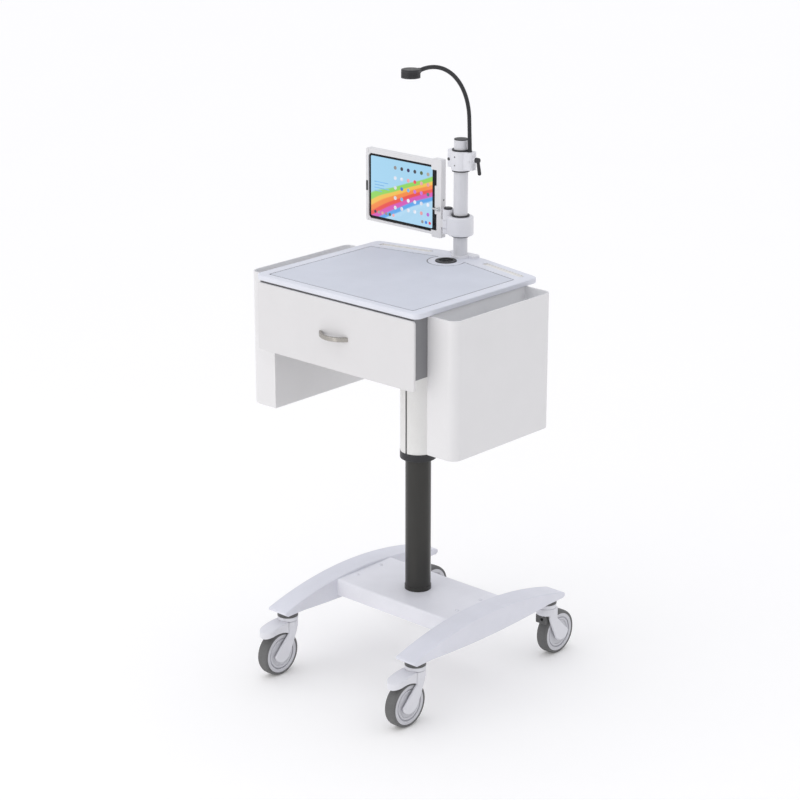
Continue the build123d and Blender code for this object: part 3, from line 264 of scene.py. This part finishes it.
FINISHES = {
    # name: colour, roughness, grain and depth in millimetres, then what differs from a plain finish
    # the lighter edge colours below are partly scuffs, partly painted edge highlight
    "leg_casting": (WHITE_COAT, 0.42, 1.3, 0.05, {"wear_and_edge_highlight": (0.82, 0.82, 0.85)}),
    "beam_steel": (WHITE_BEAM, 0.42, 1.3, 0.05, {"wear_and_edge_highlight": (0.85, 0.84, 0.84)}),
    "column_white": (WHITE_COLUMN, 0.36, 1.5, 0.04, {"coat": 0.15}),
    "column_dark": (DARK_TUBE, 0.30, 0.8, 0.004, {"metallic": 0.4, "streaks": (1, 1, 60),
                                                  "gloss_spread": 0.012, "specular": 0.25}),
    "shell_plastic": (WHITE_PLASTIC, 0.46, 0.9, 0.04, {"cells": True, "mottle": 0.01,
                                                       "wear_and_edge_highlight": (0.84, 0.84, 0.86)}),
    # the bins' finish, with painted light on their inner faces
    "bin_plastic_painted_light": (WHITE_PLASTIC, 0.46, 0.9, 0.04, {"cells": True, "mottle": 0.01,
                                                     "wear_and_edge_highlight": (0.84, 0.84, 0.86), "hollow_painted_light": BIN_HOLLOW_PAINTED_LIGHT}),
    "worktop_plastic": (WHITE_TOP, 0.42, 0.9, 0.04, {"cells": True}),
    "mat": (MAT_BLUE, 0.62, 1.6, 0.16, {"cells": True, "mottle": 0.025}),
    "cabinet_grey": (CABINET_GREY, 0.45, 1.2, 0.04, {"metallic": 0.2}),
    "black_plastic": (BLACK, 0.45, 0.8, 0.05, {"cells": True, "mottle": 0.1, "wear_and_edge_highlight": (0.07, 0.07, 0.07)}),
    "bright_steel": (ZINC, 0.30, 0.7, 0.01, {"metallic": 1.0, "mottle": 0.05, "streaks": (1, 40, 1)}),
    "arm_white": (WHITE_ARM, 0.40, 1.3, 0.05, {"wear_and_edge_highlight": (0.85, 0.85, 0.86)}),
    "mast_white": (WHITE_MAST, 0.36, 1.1, 0.02, {"streaks": (1, 1, 30)}),
    "caster_plastic": (WHITE_CASTER, 0.42, 1.0, 0.05, {"cells": True, "wear_and_edge_highlight": (0.80, 0.80, 0.82)}),
    "wheel_plastic": (WHEEL_GREY, 0.45, 1.0, 0.05, {"mottle": 0.04}),
    "tyre_rubber": (RUBBER, 0.78, 1.4, 0.12, {"mottle": 0.14, "wear_and_edge_highlight": (0.22, 0.22, 0.21),
                                              "wear_and_highlight_share": 0.6}),
    "stem_grey": (STEM_GREY, 0.45, 1.2, 0.03, {"metallic": 0.4}),
    "tablet_shell": (SHELL_GREY, 0.35, 0.6, 0.01, {"metallic": 0.6}),
    "tray_cream": (TRAY_CREAM, 0.5, 0.9, 0.04, {"cells": True, "mottle": 0.01}),
    # the drawer front's finish: the shell plastic with painted shade, a darker copy of its white
    "drawer_plastic_painted_shade": (DRAWER_WHITE_PAINTED_SHADE, 0.46, 0.9, 0.04, {"cells": True, "mottle": 0.01,
                                                       "wear_and_edge_highlight": (0.80, 0.80, 0.81)}),
    "nickel": (NICKEL, 0.26, 0.6, 0.015, {"metallic": 1.0, "mottle": 0.08, "streaks": (50, 1, 1)}),
    "gooseneck_coat": (NECK_BLACK, 0.42, 0.8, 0.03, {"metallic": 0.1, "mottle": 0.1}),
}
MATERIALS = {name: surface(name, colour, roughness, grain * MM, depth * MM, **rest)
             for name, (colour, roughness, grain, depth, rest) in FINISHES.items()}


def emit(tree, shader, colour, strength):
    """Give a display finish the colour that it sends out through its dark glass."""
    tree.links.new(colour, shader.inputs["Emission Color"])
    fixed(shader, {"Base Color": (*GLASS_BLACK, 1), "Emission Strength": strength,
                   "Roughness": SCREEN_ROUGHNESS})


def screen_material(low, high):
    """Lit display: plain slanting stripes under a pale sky tone, from the corners of the display."""
    material, tree, shader = new_material("screen_light")
    place = add(tree, "ShaderNodeTexCoord").outputs["Object"]
    split = add(tree, "ShaderNodeSeparateXYZ", {"Vector": place}).outputs
    across = spread(tree, split["X"], 0, 1, low.x, high.x)
    down = spread(tree, split["Z"], 0, 1, high.z, low.z)
    slant = maths(tree, "MULTIPLY_ADD", across, STRIPE_RISE, down)
    sway = spread(tree, noise(tree, place, SWAY_SCALE, 0.0), -STRIPE_SWAY, STRIPE_SWAY)
    whole = 1 + STRIPE_RISE
    level = maths(tree, "DIVIDE", maths(tree, "ADD", slant, sway), whole)
    ramp = add(tree, "ShaderNodeValToRGB", {"Fac": level})
    elements = ramp.color_ramp.elements
    elements[0].color, elements[1].color = (*SKY, 1), (*PALE_SKY, 1)
    edge = STRIPE_START
    stops = [(edge - STRIPE_BLUR, SKY)]
    for colour, height in STRIPES:
        stops += [(edge + STRIPE_BLUR, colour), (edge + height - STRIPE_BLUR, colour)]
        edge += height
    for position, colour in stops + [(edge + STRIPE_BLUR, PALE_SKY)]:
        elements.new(position / whole).color = (*colour, 1)
    emit(tree, shader, ramp.outputs["Color"], SCREEN_GLOW)
    return material


def mark_material(name, colour):
    """Lit colour of one kind of screen mark, under the same glass."""
    material, tree, shader = new_material(name)
    place = add(tree, "ShaderNodeTexCoord").outputs["Object"]
    fade = spread(tree, noise(tree, place, FADE_SCALE, 1.0), 0.85, 1.15)
    emit(tree, shader, shaded(tree, (*colour, 1), fade), MARK_GLOW)
    return material


def glass_material():
    """Black glossy bezel glass with faint smears in its gloss."""
    material, tree, shader = new_material("screen_glass")
    place = add(tree, "ShaderNodeTexCoord").outputs["Object"]
    smear = spread(tree, noise(tree, place, SMEAR_SCALE, 6.0), 0.05, 0.14)
    tree.links.new(smear, shader.inputs["Roughness"])
    fixed(shader, {"Base Color": (*GLASS_BLACK, 1), "Specular IOR Level": GLASS_SPECULAR,
                   "Coat Weight": GLASS_COAT})
    return material


def lens_material():
    """Frosted lamp lens with small prisms."""
    material, tree, shader = new_material("lens_glass")
    place = add(tree, "ShaderNodeTexCoord").outputs["Object"]
    prism = add(tree, "ShaderNodeTexVoronoi", {"Vector": place, "Scale": PRISM_SCALE}).outputs["Distance"]
    bump = add(tree, "ShaderNodeBump", {"Height": prism, "Distance": PRISM_DEPTH})
    tree.links.new(bump.outputs["Normal"], shader.inputs["Normal"])
    tree.links.new(spread(tree, prism, 0.25, 0.4, 0, 1), shader.inputs["Roughness"])
    fixed(shader, {"Base Color": (*LENS_WHITE, 1), "Emission Color": (*LENS_LIGHT, 1),
                   "Emission Strength": LENS_GLOW})
    return material


MATERIALS["screen_glass"] = glass_material()
MATERIALS["lens_glass"] = lens_material()

# CAD nodes whose finish differs from the others in their record slot
OWN_FINISH = {"left_bin": "bin_plastic_painted_light", "right_bin": "bin_plastic_painted_light", "drawer_front": "drawer_plastic_painted_shade",
              "drawer_handle": "nickel", "base_screws": "beam_steel"}


def finish_cad_nodes():
    """Give every CAD node the finish of its record slot, or its own where the slot is shared."""
    slots = {part["node"]: part["material_slot"] for part in frame["record"]["subparts"]}
    for name, node in frame["nodes"].items():
        material = MATERIALS[OWN_FINISH.get(name, slots[name])]
        node.data.materials.clear()
        node.data.materials.append(material)


finish_cad_nodes()


# ---- mesh helpers ------------------------------------------------------------------------------

SHARP_ANGLE = math.radians(38)
HEXAGON_PART = 0.45     # of a screw head's radius
LEAST_CORNER = 0.05 * MM


def piece(name, shape, material, body, smooth=True):
    """Turn a bmesh into a piece that rides on a body, or stays free when body is None."""
    bmesh.ops.recalc_face_normals(shape, faces=shape.faces)
    mesh = bpy.data.meshes.new(name)
    shape.to_mesh(mesh)
    shape.free()
    mesh.materials.append(material)
    if smooth:
        mesh.shade_smooth()
        mesh.set_sharp_from_angle(angle=SHARP_ANGLE)
    made = bpy.data.objects.new(name, mesh)
    bpy.context.scene.collection.objects.link(made)
    if body:
        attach(made, body)
    return made


def fitting(name, shape, body, slot, finish=None):
    """Piece that rides on a body, in the finish of its slot unless another one is named."""
    piece(name, shape, MATERIALS[finish or slot], body)


def box_middle(name):
    """Middle of a node's box."""
    return Vector([(low + high) / 2 for low, high in zip(*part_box(name))])


def aimed(place, axis):
    """Matrix that takes local Z to an axis, at a place."""
    return Matrix.Translation(place) @ Vector(axis).to_track_quat("Z", "Y").to_matrix().to_4x4()


def loft_rings(shape, rings, ring_round=False):
    """Join rings of equally many points into one skin, capped at both ends or closed on itself."""
    loops = [[shape.verts.new(point) for point in ring] for ring in rings]
    for lower, upper in zip(loops, loops[1:] + (loops[:1] if ring_round else [])):
        for k in range(len(lower)):
            after = (k + 1) % len(lower)
            shape.faces.new((lower[k], lower[after], upper[after], upper[k]))
    if not ring_round:
        shape.faces.new(loops[0])
        shape.faces.new(loops[-1])


def turned(shape, profile, matrix, sides=32, hexagon_from=None):
    """Turn (radius, height) points about the matrix's Z. From one index on, the rings are hexagons."""
    rings = []
    for index, (radius, height) in enumerate(profile):
        ring = []
        for k in range(sides):
            turn = 2 * math.pi * k / sides
            reach = radius
            if hexagon_from is not None and index >= hexagon_from:
                reach = radius * math.cos(math.pi / 6) / math.cos(turn % (math.pi / 3) - math.pi / 6)
            ring.append(matrix @ Vector((reach * math.cos(turn), reach * math.sin(turn), height)))
        rings.append(ring)
    loft_rings(shape, rings)


def button_screw(shape, place, axis, radius, height):
    """Button-head screw with a hexagon socket."""
    hexagon = HEXAGON_PART * radius
    profile = [(radius, -0.2 * height), (radius, 0.25 * height), (0.93 * radius, 0.6 * height),
               (0.78 * radius, 0.88 * height), (0.62 * radius, height), (hexagon, height),
               (hexagon, 0.35 * height), (0.3 * hexagon, 0.3 * height)]
    turned(shape, profile, aimed(place, axis), sides=36, hexagon_from=5)


def rounded_outline(width, height, radius, steps=8):
    """Points of a rounded rectangle about the origin."""
    points = []
    for quarter, (side, up) in enumerate(((1, 1), (-1, 1), (-1, -1), (1, -1))):
        centre = (side * (width / 2 - radius), up * (height / 2 - radius))
        for k in range(steps + 1):
            turn = math.pi / 2 * (quarter + k / steps)
            points.append((centre[0] + radius * math.cos(turn), centre[1] + radius * math.sin(turn)))
    return points


def slab(shape, place, across, up, size, radius, thick, edge=0.0):
    """Rounded rectangular slab that rises from a face; edge rounds its outer rim."""
    out = across.cross(up)
    levels = [(0.0, 0.0), (thick - edge, 0.0)]
    if edge:
        levels += [(thick - 0.3 * edge, 0.3 * edge), (thick, edge)]
    rings = []
    for rise, inset in levels:
        outline = rounded_outline(size[0] - 2 * inset, size[1] - 2 * inset, max(radius - inset, LEAST_CORNER))
        rings.append([place + across * a + up * b + out * rise for a, b in outline])
    loft_rings(shape, rings)


# ---- gooseneck ---------------------------------------------------------------------------------

NECK_R = 5.5 * MM
NECK_LEAN = math.radians(2.5)
NECK_ARC_RISE = 35.6 * MM     # from the bend up to the start of the arc
NECK_ARC_R = 163 * MM
NECK_DROOP = math.radians(8)
RIB_PITCH = 3.0 * MM
RIB_DEPTH = 0.5 * MM
RIB_RINGS = 6                 # rings of points for each rib
NECK_SIDES = 24
FERRULE_PROFILE = [(6.4, -1), (6.4, 2.4), (6.1, 3.0), (5.0, 3.2)]     # radius and height, millimetres
SOCKET_PROFILE = [(1.2, -7.3), (3.0, -6.8), (4.8, -5.7), (6.2, -4.1), (7.1, -2.1), (7.4, 0), (7.5, 3),
                  (8.2, 8), (8.4, 11)]
SOCKET_DROP = 3 * MM          # of the socket's aim below the hinge


def neck_route(spacing):
    """Points and directions up the lean, round the arc and down to the lamp's hinge."""
    bend, tip = (Vector(JOINTS[name]["pos_m"]) for name in ("neck_bend", "lamp_tilt"))
    lean = Vector((0, -math.sin(NECK_LEAN), math.cos(NECK_LEAN)))
    foot = bend - lean * ((bend.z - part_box("gooseneck_lower")[0].z) / lean.z)
    start = bend + lean * (NECK_ARC_RISE / lean.z)
    centre = start - Vector((0, math.cos(NECK_LEAN), math.sin(NECK_LEAN))) * NECK_ARC_R
    sweep = math.pi / 2 + NECK_DROOP - NECK_LEAN
    run, arc = (start - foot).length, NECK_ARC_R * sweep
    fall = Vector((0, -math.cos(NECK_DROOP), -math.sin(NECK_DROOP)))
    end_turn = math.pi / 2 + NECK_DROOP
    arc_end = centre + Vector((0, math.cos(end_turn), math.sin(end_turn))) * NECK_ARC_R
    total = run + arc + (tip - arc_end).length
    for step in range(int(total / spacing) + 1):
        along = step * spacing
        if along < run:
            yield along, foot + lean * along, lean
        elif along < run + arc:
            turn = NECK_LEAN + (along - run) / NECK_ARC_R
            yield (along, centre + Vector((0, math.cos(turn), math.sin(turn))) * NECK_ARC_R,
                   Vector((0, -math.sin(turn), math.cos(turn))))
        else:
            yield along, arc_end + fall * (along - run - arc), fall


def gooseneck():
    """Ribbed neck in one length, skinned over its hinge, in place of the two CAD runs."""
    shape = bmesh.new()
    rings = []
    for along, point, direction in neck_route(RIB_PITCH / RIB_RINGS):
        side = direction.cross(X)
        radius = NECK_R - RIB_DEPTH * (0.5 + 0.5 * math.cos(2 * math.pi * along / RIB_PITCH)) ** 2
        rings.append([point + radius * (X * math.cos(2 * math.pi * k / NECK_SIDES)
                                        + side * math.sin(2 * math.pi * k / NECK_SIDES))
                      for k in range(NECK_SIDES)])
    loft_rings(shape, rings)
    neck = piece("gooseneck", shape, MATERIALS["gooseneck_coat"], None)
    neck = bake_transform(neck)
    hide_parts("gooseneck_lower", "gooseneck_upper")


def neck_ferrule():
    """Thin black collar round the neck's foot on the clamp."""
    shape = bmesh.new()
    place = Vector((JOINTS["neck_bend"]["pos_m"][0], box_middle("gooseneck_lower").y,
                    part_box("clamp_body")[1].z))
    turned(shape, [(r * MM, h * MM) for r, h in FERRULE_PROFILE], aimed(place, Z))
    fitting("neck_ferrule", shape, "clamp", "black_plastic")


def lamp_socket():
    """Ball housing round the neck's end, on a short boss that widens into the lamp head."""
    shape = bmesh.new()
    tip = Vector(JOINTS["lamp_tilt"]["pos_m"])
    into = Vector((tip.x, box_middle("lamp_head").y, tip.z - SOCKET_DROP)) - tip
    into.normalize()
    turned(shape, [(r * MM, h * MM) for r, h in SOCKET_PROFILE], aimed(tip, into), sides=28)
    fitting("lamp_socket", shape, "lamp", "black_plastic")


gooseneck()
neck_ferrule()
lamp_socket()


# ---- tablet and holder -------------------------------------------------------------------------

BEZEL_LEFT, BEZEL_RIGHT, BEZEL_TOP, BEZEL_BOTTOM = 6 * MM, 10 * MM, 6 * MM, 7 * MM
SCREEN_RISE = 0.25 * MM
SCREEN_CORNER = 3.5 * MM
SCREEN_EDGE = 0.1 * MM
MARK_RISE = 0.15 * MM
MARK_R = 5.2 * MM
DOCK_R = 4.3 * MM
MARK_COLUMNS = [0.40 + 0.106 * k for k in range(6)]     # shares of the display's width
MARK_ROWS = [
    # share of the display's height from its top, then a colour for each column
    (0.13, ("grey", "ink", "navy", "ink", "leaf", "sand")),
    (0.30, ("white", "white", "rose", "red", "rose", "rose")),
    (0.46, ("white", "blue", "azure", "violet", "violet", "teal")),
    (0.63, ("white", "azure", "white", "white", "white", "white")),
    (0.79, ("white", "white", "white", "white", "rose", "violet"))]
DOCK_ROW = [(0.07, "ink"), (0.13, "sand"), (0.19, "rose"), (0.25, "grey"), (0.31, "leaf"), (0.37, "rose"),
            (0.84, "grey"), (0.90, "blue"), (0.96, "red")]
DOCK_LEVEL = 0.925
BARS = [(0.17, 0.42, 52), (0.14, 0.47, 36), (0.18, 0.52, 56), (0.12, 0.57, 28)]   # u, v, millimetres wide
BAR_HEIGHT = 2.2 * MM
BAR_CORNER = 1.05 * MM
BAR_SINK = 0.05 * MM
BUTTON_INSET = 3.6 * MM       # from the jaw's left end to the catch's middle
BUTTON_SINK = 0.2 * MM
BUTTON_Z = 1.275
BUTTON_SIZE = (6.4 * MM, 28 * MM)
LATCH_SIZE = (23 * MM, 4.6 * MM)
LATCH_OFFSET = 8.5 * MM       # from the lock's middle to the latch's middle
LATCH_THICK = 2.0 * MM


def screen_corners():
    """Lower left and upper right corners of the display, on the glass."""
    low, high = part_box("tablet_glass")
    return (Vector((low.x + BEZEL_LEFT, low.y, low.z + BEZEL_BOTTOM)),
            Vector((high.x - BEZEL_RIGHT, low.y, high.z - BEZEL_TOP)))


def screen_point(u, v, rise):
    """Place on the display: u from its left side, v from its top."""
    low, high = screen_corners()
    return Vector((low.x + u * (high.x - low.x), low.y - rise, high.z - v * (high.z - low.z)))


def tablet_screen():
    """Thin lit display on the glass, inside the bezel."""
    low, high = screen_corners()
    shape = bmesh.new()
    slab(shape, (low + high) / 2, X, Z, (high.x - low.x, high.z - low.z), SCREEN_CORNER, SCREEN_RISE,
         SCREEN_EDGE)
    piece("tablet_screen", shape, screen_material(low, high), "holder")


def screen_marks():
    """Plain discs and bars on the display, one piece for each colour."""
    spots = [(u, v, colour, MARK_R) for v, row in MARK_ROWS for u, colour in zip(MARK_COLUMNS, row)]
    spots += [(u, DOCK_LEVEL, colour, DOCK_R) for u, colour in DOCK_ROW]
    for name, colour in MARK_COLOURS.items():
        shape = bmesh.new()
        for u, v, spot_colour, radius in spots:
            if spot_colour == name:
                place = aimed(screen_point(u, v, SCREEN_RISE), -Y)
                turned(shape, [(radius, -MARK_RISE), (radius, 0.7 * MARK_RISE), (0.97 * radius, MARK_RISE)],
                       place, sides=28)
        if name == "azure":
            for u, v, width in BARS:
                slab(shape, screen_point(u, v, SCREEN_RISE - BAR_SINK), X, Z, (width * MM, BAR_HEIGHT),
                     BAR_CORNER, MARK_RISE)
        piece(f"screen_marks_{name}", shape, mark_material(f"mark_{name}", colour), "holder")


def jaw_button():
    """Black finger catch let into the left end of the jaw."""
    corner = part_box("holder_jaw")[0]
    shape = bmesh.new()
    place = Vector((corner.x + BUTTON_INSET, corner.y + BUTTON_SINK, BUTTON_Z))
    slab(shape, place, X, Z, BUTTON_SIZE, radius=1.6 * MM, thick=1.1 * MM, edge=0.5 * MM)
    fitting("jaw_button", shape, "jaw", "black_plastic")


def lock_latch():
    """Flat finger on the lock's nose that reaches over the tablet's edge and turns with the key."""
    middle = box_middle("lock_cylinder")
    shape = bmesh.new()
    place = Vector((middle.x - LATCH_OFFSET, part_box("lock_cylinder")[0].y, middle.z))
    slab(shape, place, X, Z, LATCH_SIZE, radius=2.2 * MM, thick=LATCH_THICK, edge=0.6 * MM)
    fitting("lock_latch", shape, "lock", "bright_steel")


tablet_screen()
screen_marks()
jaw_button()
lock_latch()


# ---- screws and small fittings -----------------------------------------------------------------

SCREWS = {
    # name: body, slot, then (place, axis, radius, height) in millimetres
    "housing_screw": ("holder", "stem_grey", [((-55.4, 160.5, 1274.7), X, 2.4, 0.9)]),
    "clamp_screws": ("clamp", "stem_grey", [((0, 139.6, 1402.8), -Y, 2.0, 0.8),
                                            ((0, 139.6, 1380), -Y, 2.0, 0.8)]),
    "clamp_ear_bolt": ("clamp", "stem_grey", [((-33.5, 154.6, 1390.7), -Y, 4.2, 2.0)]),
    "clamp_ear_stop": ("clamp", "arm_white", [((38, 150.6, 1393), -Y, 3.6, 1.2)]),
}
BRISTLES = 170
BRISTLE_R = 0.32 * MM
BRISTLE_SEED = 7
BRISTLE_LAYER = 1.1           # between the two layers, in millimetres
GROMMET_HOLE_R = 20 * MM
GROMMET_ROOT = 0.6 * MM       # of each bristle inside the grommet's wall
GROMMET_SINK = 1.3 * MM
SAME_POINT = 0.01 * MM        # points of the mat closer than this are one
UPWARD = 0.9                  # least z of an upper face's normal
SEAM_R = 1.2 * MM
SEAM_OUT = 1.25 * MM          # from the mat's edge to the middle of the groove
SEAM_SINK = 1.2 * MM
SEAM_SIDES = 8
TRAY_MIDDLE = (171 * MM, 139.1 * MM)     # of the right tray
TRAY_TURN = math.radians(12.15)
TRAY_SIZE = (156.8 * MM, 17.3 * MM)
TRAY_CORNER = 4.9 * MM
# inset from the tray's wall and drop below the worktop, in millimetres: outside, rim, then inside
TRAY_SECTION = [(0, 6.9), (0, 0.3), (0.2, 0.1), (0.5, 0.1), (0.7, 0.3), (0.7, 2.8)]
SLOT_WIDTH = 5.6 * MM
SLOT_SINK = 3.4 * MM
SEAL_GAP = 1 * MM             # that the strip is shorter than the column
KNUCKLE_R = 14.8 * MM
KNUCKLE_LOW_Z, KNUCKLE_HIGH_Z = 1203.2 * MM, 1224.8 * MM
KNUCKLE_EDGE = 0.6 * MM


def screws():
    """Button-head screws, one piece for each place or group in SCREWS."""
    for name, (body, slot, places) in SCREWS.items():
        shape = bmesh.new()
        for place, axis, radius, height in places:
            button_screw(shape, Vector(place) * MM, axis, radius * MM, height * MM)
        fitting(name, shape, body, slot)


def grommet_brush():
    """Ring of stiff bristles that closes the cable grommet, in two layers."""
    middle = box_middle("cable_grommet")
    centre = Vector((middle.x, middle.y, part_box("cable_grommet")[1].z - GROMMET_SINK))
    pick = random.Random(BRISTLE_SEED)
    shape = bmesh.new()
    for k in range(BRISTLES):
        turn = 2 * math.pi * (k + pick.uniform(-0.3, 0.3)) / BRISTLES
        out = Vector((math.cos(turn), math.sin(turn), 0))
        layer = (k % 2) * BRISTLE_LAYER
        root = centre + out * (GROMMET_HOLE_R + GROMMET_ROOT) - Z * layer * MM
        tip = centre + out * pick.uniform(1.0, 3.5) * MM - Z * (layer + pick.uniform(-0.5, 1.2)) * MM
        length = (tip - root).length
        profile = [(BRISTLE_R, 0), (0.85 * BRISTLE_R, 0.6 * length), (0.35 * BRISTLE_R, length)]
        turned(shape, profile, aimed(root, tip - root), sides=5)
    fitting("grommet_brush", shape, "lift", "black_plastic")


def mat_outline():
    """Points round the mat's upper face, in order."""
    mat = bmesh.new()
    mat.from_mesh(frame["nodes"]["worktop_mat"].data)
    bmesh.ops.remove_doubles(mat, verts=mat.verts, dist=SAME_POINT)
    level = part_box("worktop_mat")[1].z - SAME_POINT
    beside = {}
    for edge in mat.edges:
        upward = [face.normal.z > UPWARD for face in edge.link_faces]
        if min(vert.co.z for vert in edge.verts) > level and upward.count(True) == 1:
            first, second = edge.verts
            beside.setdefault(first.index, []).append(second)
            beside.setdefault(second.index, []).append(first)
    mat.verts.ensure_lookup_table()
    start = min(beside)
    points, here, before = [], mat.verts[start], None
    while not points or here.index != start:
        points.append(here.co.copy())
        ahead = [vert for vert in beside[here.index] if vert.index != before][0]
        here, before = ahead, here.index
    mat.free()
    return points


def mat_seam():
    """Dark sealing cord in the groove between the worktop and the mat."""
    points = mat_outline()
    area = sum(a.x * b.y - b.x * a.y for a, b in zip(points, points[1:] + points[:1]))
    hand = 1 if area > 0 else -1
    rings = []
    for before, here, after in zip(points[-1:] + points[:-1], points, points[1:] + points[:1]):
        out = ((here - before).normalized() + (after - here).normalized()).cross(Z).normalized() * hand
        middle = here + out * SEAM_OUT - Z * SEAM_SINK
        rings.append([middle + out * SEAM_R * math.cos(2 * math.pi * k / SEAM_SIDES)
                      + Z * SEAM_R * math.sin(2 * math.pi * k / SEAM_SIDES) for k in range(SEAM_SIDES)])
    shape = bmesh.new()
    loft_rings(shape, rings, ring_round=True)
    fitting("mat_seam", shape, "lift", "black_plastic")


def tray_liners():
    """Thin cream troughs that line the two pen trays."""
    shape = bmesh.new()
    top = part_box("tabletop")[1].z
    for hand in (-1, 1):
        across = Vector((math.cos(TRAY_TURN), -hand * math.sin(TRAY_TURN), 0))
        up = Z.cross(across)
        rings = []
        for inset, drop in TRAY_SECTION:
            inset *= MM
            outline = rounded_outline(TRAY_SIZE[0] - 2 * inset, TRAY_SIZE[1] - 2 * inset, TRAY_CORNER - inset)
            middle = Vector((hand * TRAY_MIDDLE[0], TRAY_MIDDLE[1], top - drop * MM))
            rings.append([middle + across * a + up * b for a, b in outline])
        loft_rings(shape, rings)
    fitting("tray_liners", shape, "lift", "worktop_plastic", finish="tray_cream")


def slot_seal():
    """Dark brush strip inside the slot down the front of the column."""
    low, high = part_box("column_sleeve")
    middle = box_middle("column_sleeve")
    middle.y = low.y + SLOT_SINK
    shape = bmesh.new()
    slab(shape, middle, X, Z, (SLOT_WIDTH, high.z - low.z - SEAL_GAP), radius=0.6 * MM, thick=0.8 * MM)
    fitting("slot_seal", shape, "lift", "black_plastic", finish="stem_grey")


def pivot_knuckle():
    """White ring of the holder's tongue, which fills the pivot barrel's slot."""
    centre = box_middle("arm_pivot_pin")
    centre.z = 0
    shape = bmesh.new()
    inner = KNUCKLE_R - KNUCKLE_EDGE
    profile = [(inner, KNUCKLE_LOW_Z), (KNUCKLE_R, KNUCKLE_LOW_Z + KNUCKLE_EDGE),
               (KNUCKLE_R, KNUCKLE_HIGH_Z - KNUCKLE_EDGE), (inner, KNUCKLE_HIGH_Z)]
    turned(shape, profile, aimed(centre, Z), sides=48)
    fitting("pivot_knuckle", shape, "holder", "arm_white")


screws()
grommet_brush()
mat_seam()
tray_liners()
slot_seal()
pivot_knuckle()


# ---- floor and light ---------------------------------------------------------------------------

FLOOR_HALF = 60.0
FLOOR = (0.95, 0.94, 0.925)
FLOOR_GLOW = 0.09
FLOOR_ROUGHNESS = 0.9
FLOOR_SPECULAR = 0.1
HAZE_SCALE = 1.5
# z of a direction, then the light from there: bright at the horizon, dim above it, brightest overhead
WORLD_LEVELS = [(0.0, (1.02, 1.02, 1.02)), (0.14, (1.0, 1.0, 1.0)), (0.26, (0.64, 0.635, 0.63)),
                (0.65, (1.12, 1.13, 1.18)), (1.0, (1.25, 1.27, 1.34))]
WORLD_STRENGTH = (1.0, 0.77)     # from the left and from the right
LIGHTS = {
    # name: place, aim, width and height, power, colour
    "key": ((-1.3, -3.8, 1.55), (0, 0, 0.8), (2.4, 2.4), 15.0, (1.0, 0.98, 0.95)),
    "strip": ((0.1, -3.4, 1.0), (0, 0, 0.6), (0.3, 1.9), 4.6, (1.0, 0.98, 0.95)),
}


def floor():
    """Wide plain floor with a faint glow, so that it stays pale."""
    material, tree, shader = new_material("studio_floor")
    place = add(tree, "ShaderNodeTexCoord").outputs["Object"]
    haze = spread(tree, noise(tree, place, HAZE_SCALE, 4.0), 0.995, 1.0)
    tree.links.new(shaded(tree, (*FLOOR, 1), haze), shader.inputs["Base Color"])
    fixed(shader, {"Emission Color": (1, 1, 1, 1), "Emission Strength": FLOOR_GLOW,
                   "Roughness": FLOOR_ROUGHNESS, "Specular IOR Level": FLOOR_SPECULAR})
    shape = bmesh.new()
    shape.faces.new([shape.verts.new((x * FLOOR_HALF, y * FLOOR_HALF, 0))
                     for x, y in ((-1, -1), (1, -1), (1, 1), (-1, 1))])
    piece("studio_floor", shape, material, None, smooth=False)


def light():
    """Soft sky that is a little stronger on the left, with two area lights in front."""
    world = bpy.data.worlds.new("studio")
    world.use_nodes = True
    tree = world.node_tree
    towards = add(tree, "ShaderNodeTexCoord").outputs["Generated"]
    split = add(tree, "ShaderNodeSeparateXYZ", {"Vector": towards}).outputs
    ramp = add(tree, "ShaderNodeValToRGB", {"Fac": split["Z"]})
    elements = ramp.color_ramp.elements
    elements[0].color, elements[1].color = (*WORLD_LEVELS[0][1], 1), (*WORLD_LEVELS[-1][1], 1)
    for level, colour in WORLD_LEVELS[1:-1]:
        elements.new(level).color = (*colour, 1)
    background = tree.nodes["Background"].inputs
    tree.links.new(ramp.outputs["Color"], background["Color"])
    tree.links.new(spread(tree, split["X"], *WORLD_STRENGTH, -1.0, 1.0), background["Strength"])
    bpy.context.scene.world = world
    bpy.context.scene.view_settings.view_transform = "Standard"
    for name, (place, aim, size, power, colour) in LIGHTS.items():
        data = bpy.data.lights.new(name, "AREA")
        data.shape = "RECTANGLE"
        data.size, data.size_y = size
        data.energy = power
        data.color = colour
        lamp = bpy.data.objects.new(name, data)
        lamp.matrix_world = aimed(place, Vector(place) - Vector(aim))
        bpy.context.scene.collection.objects.link(lamp)


floor()
light()
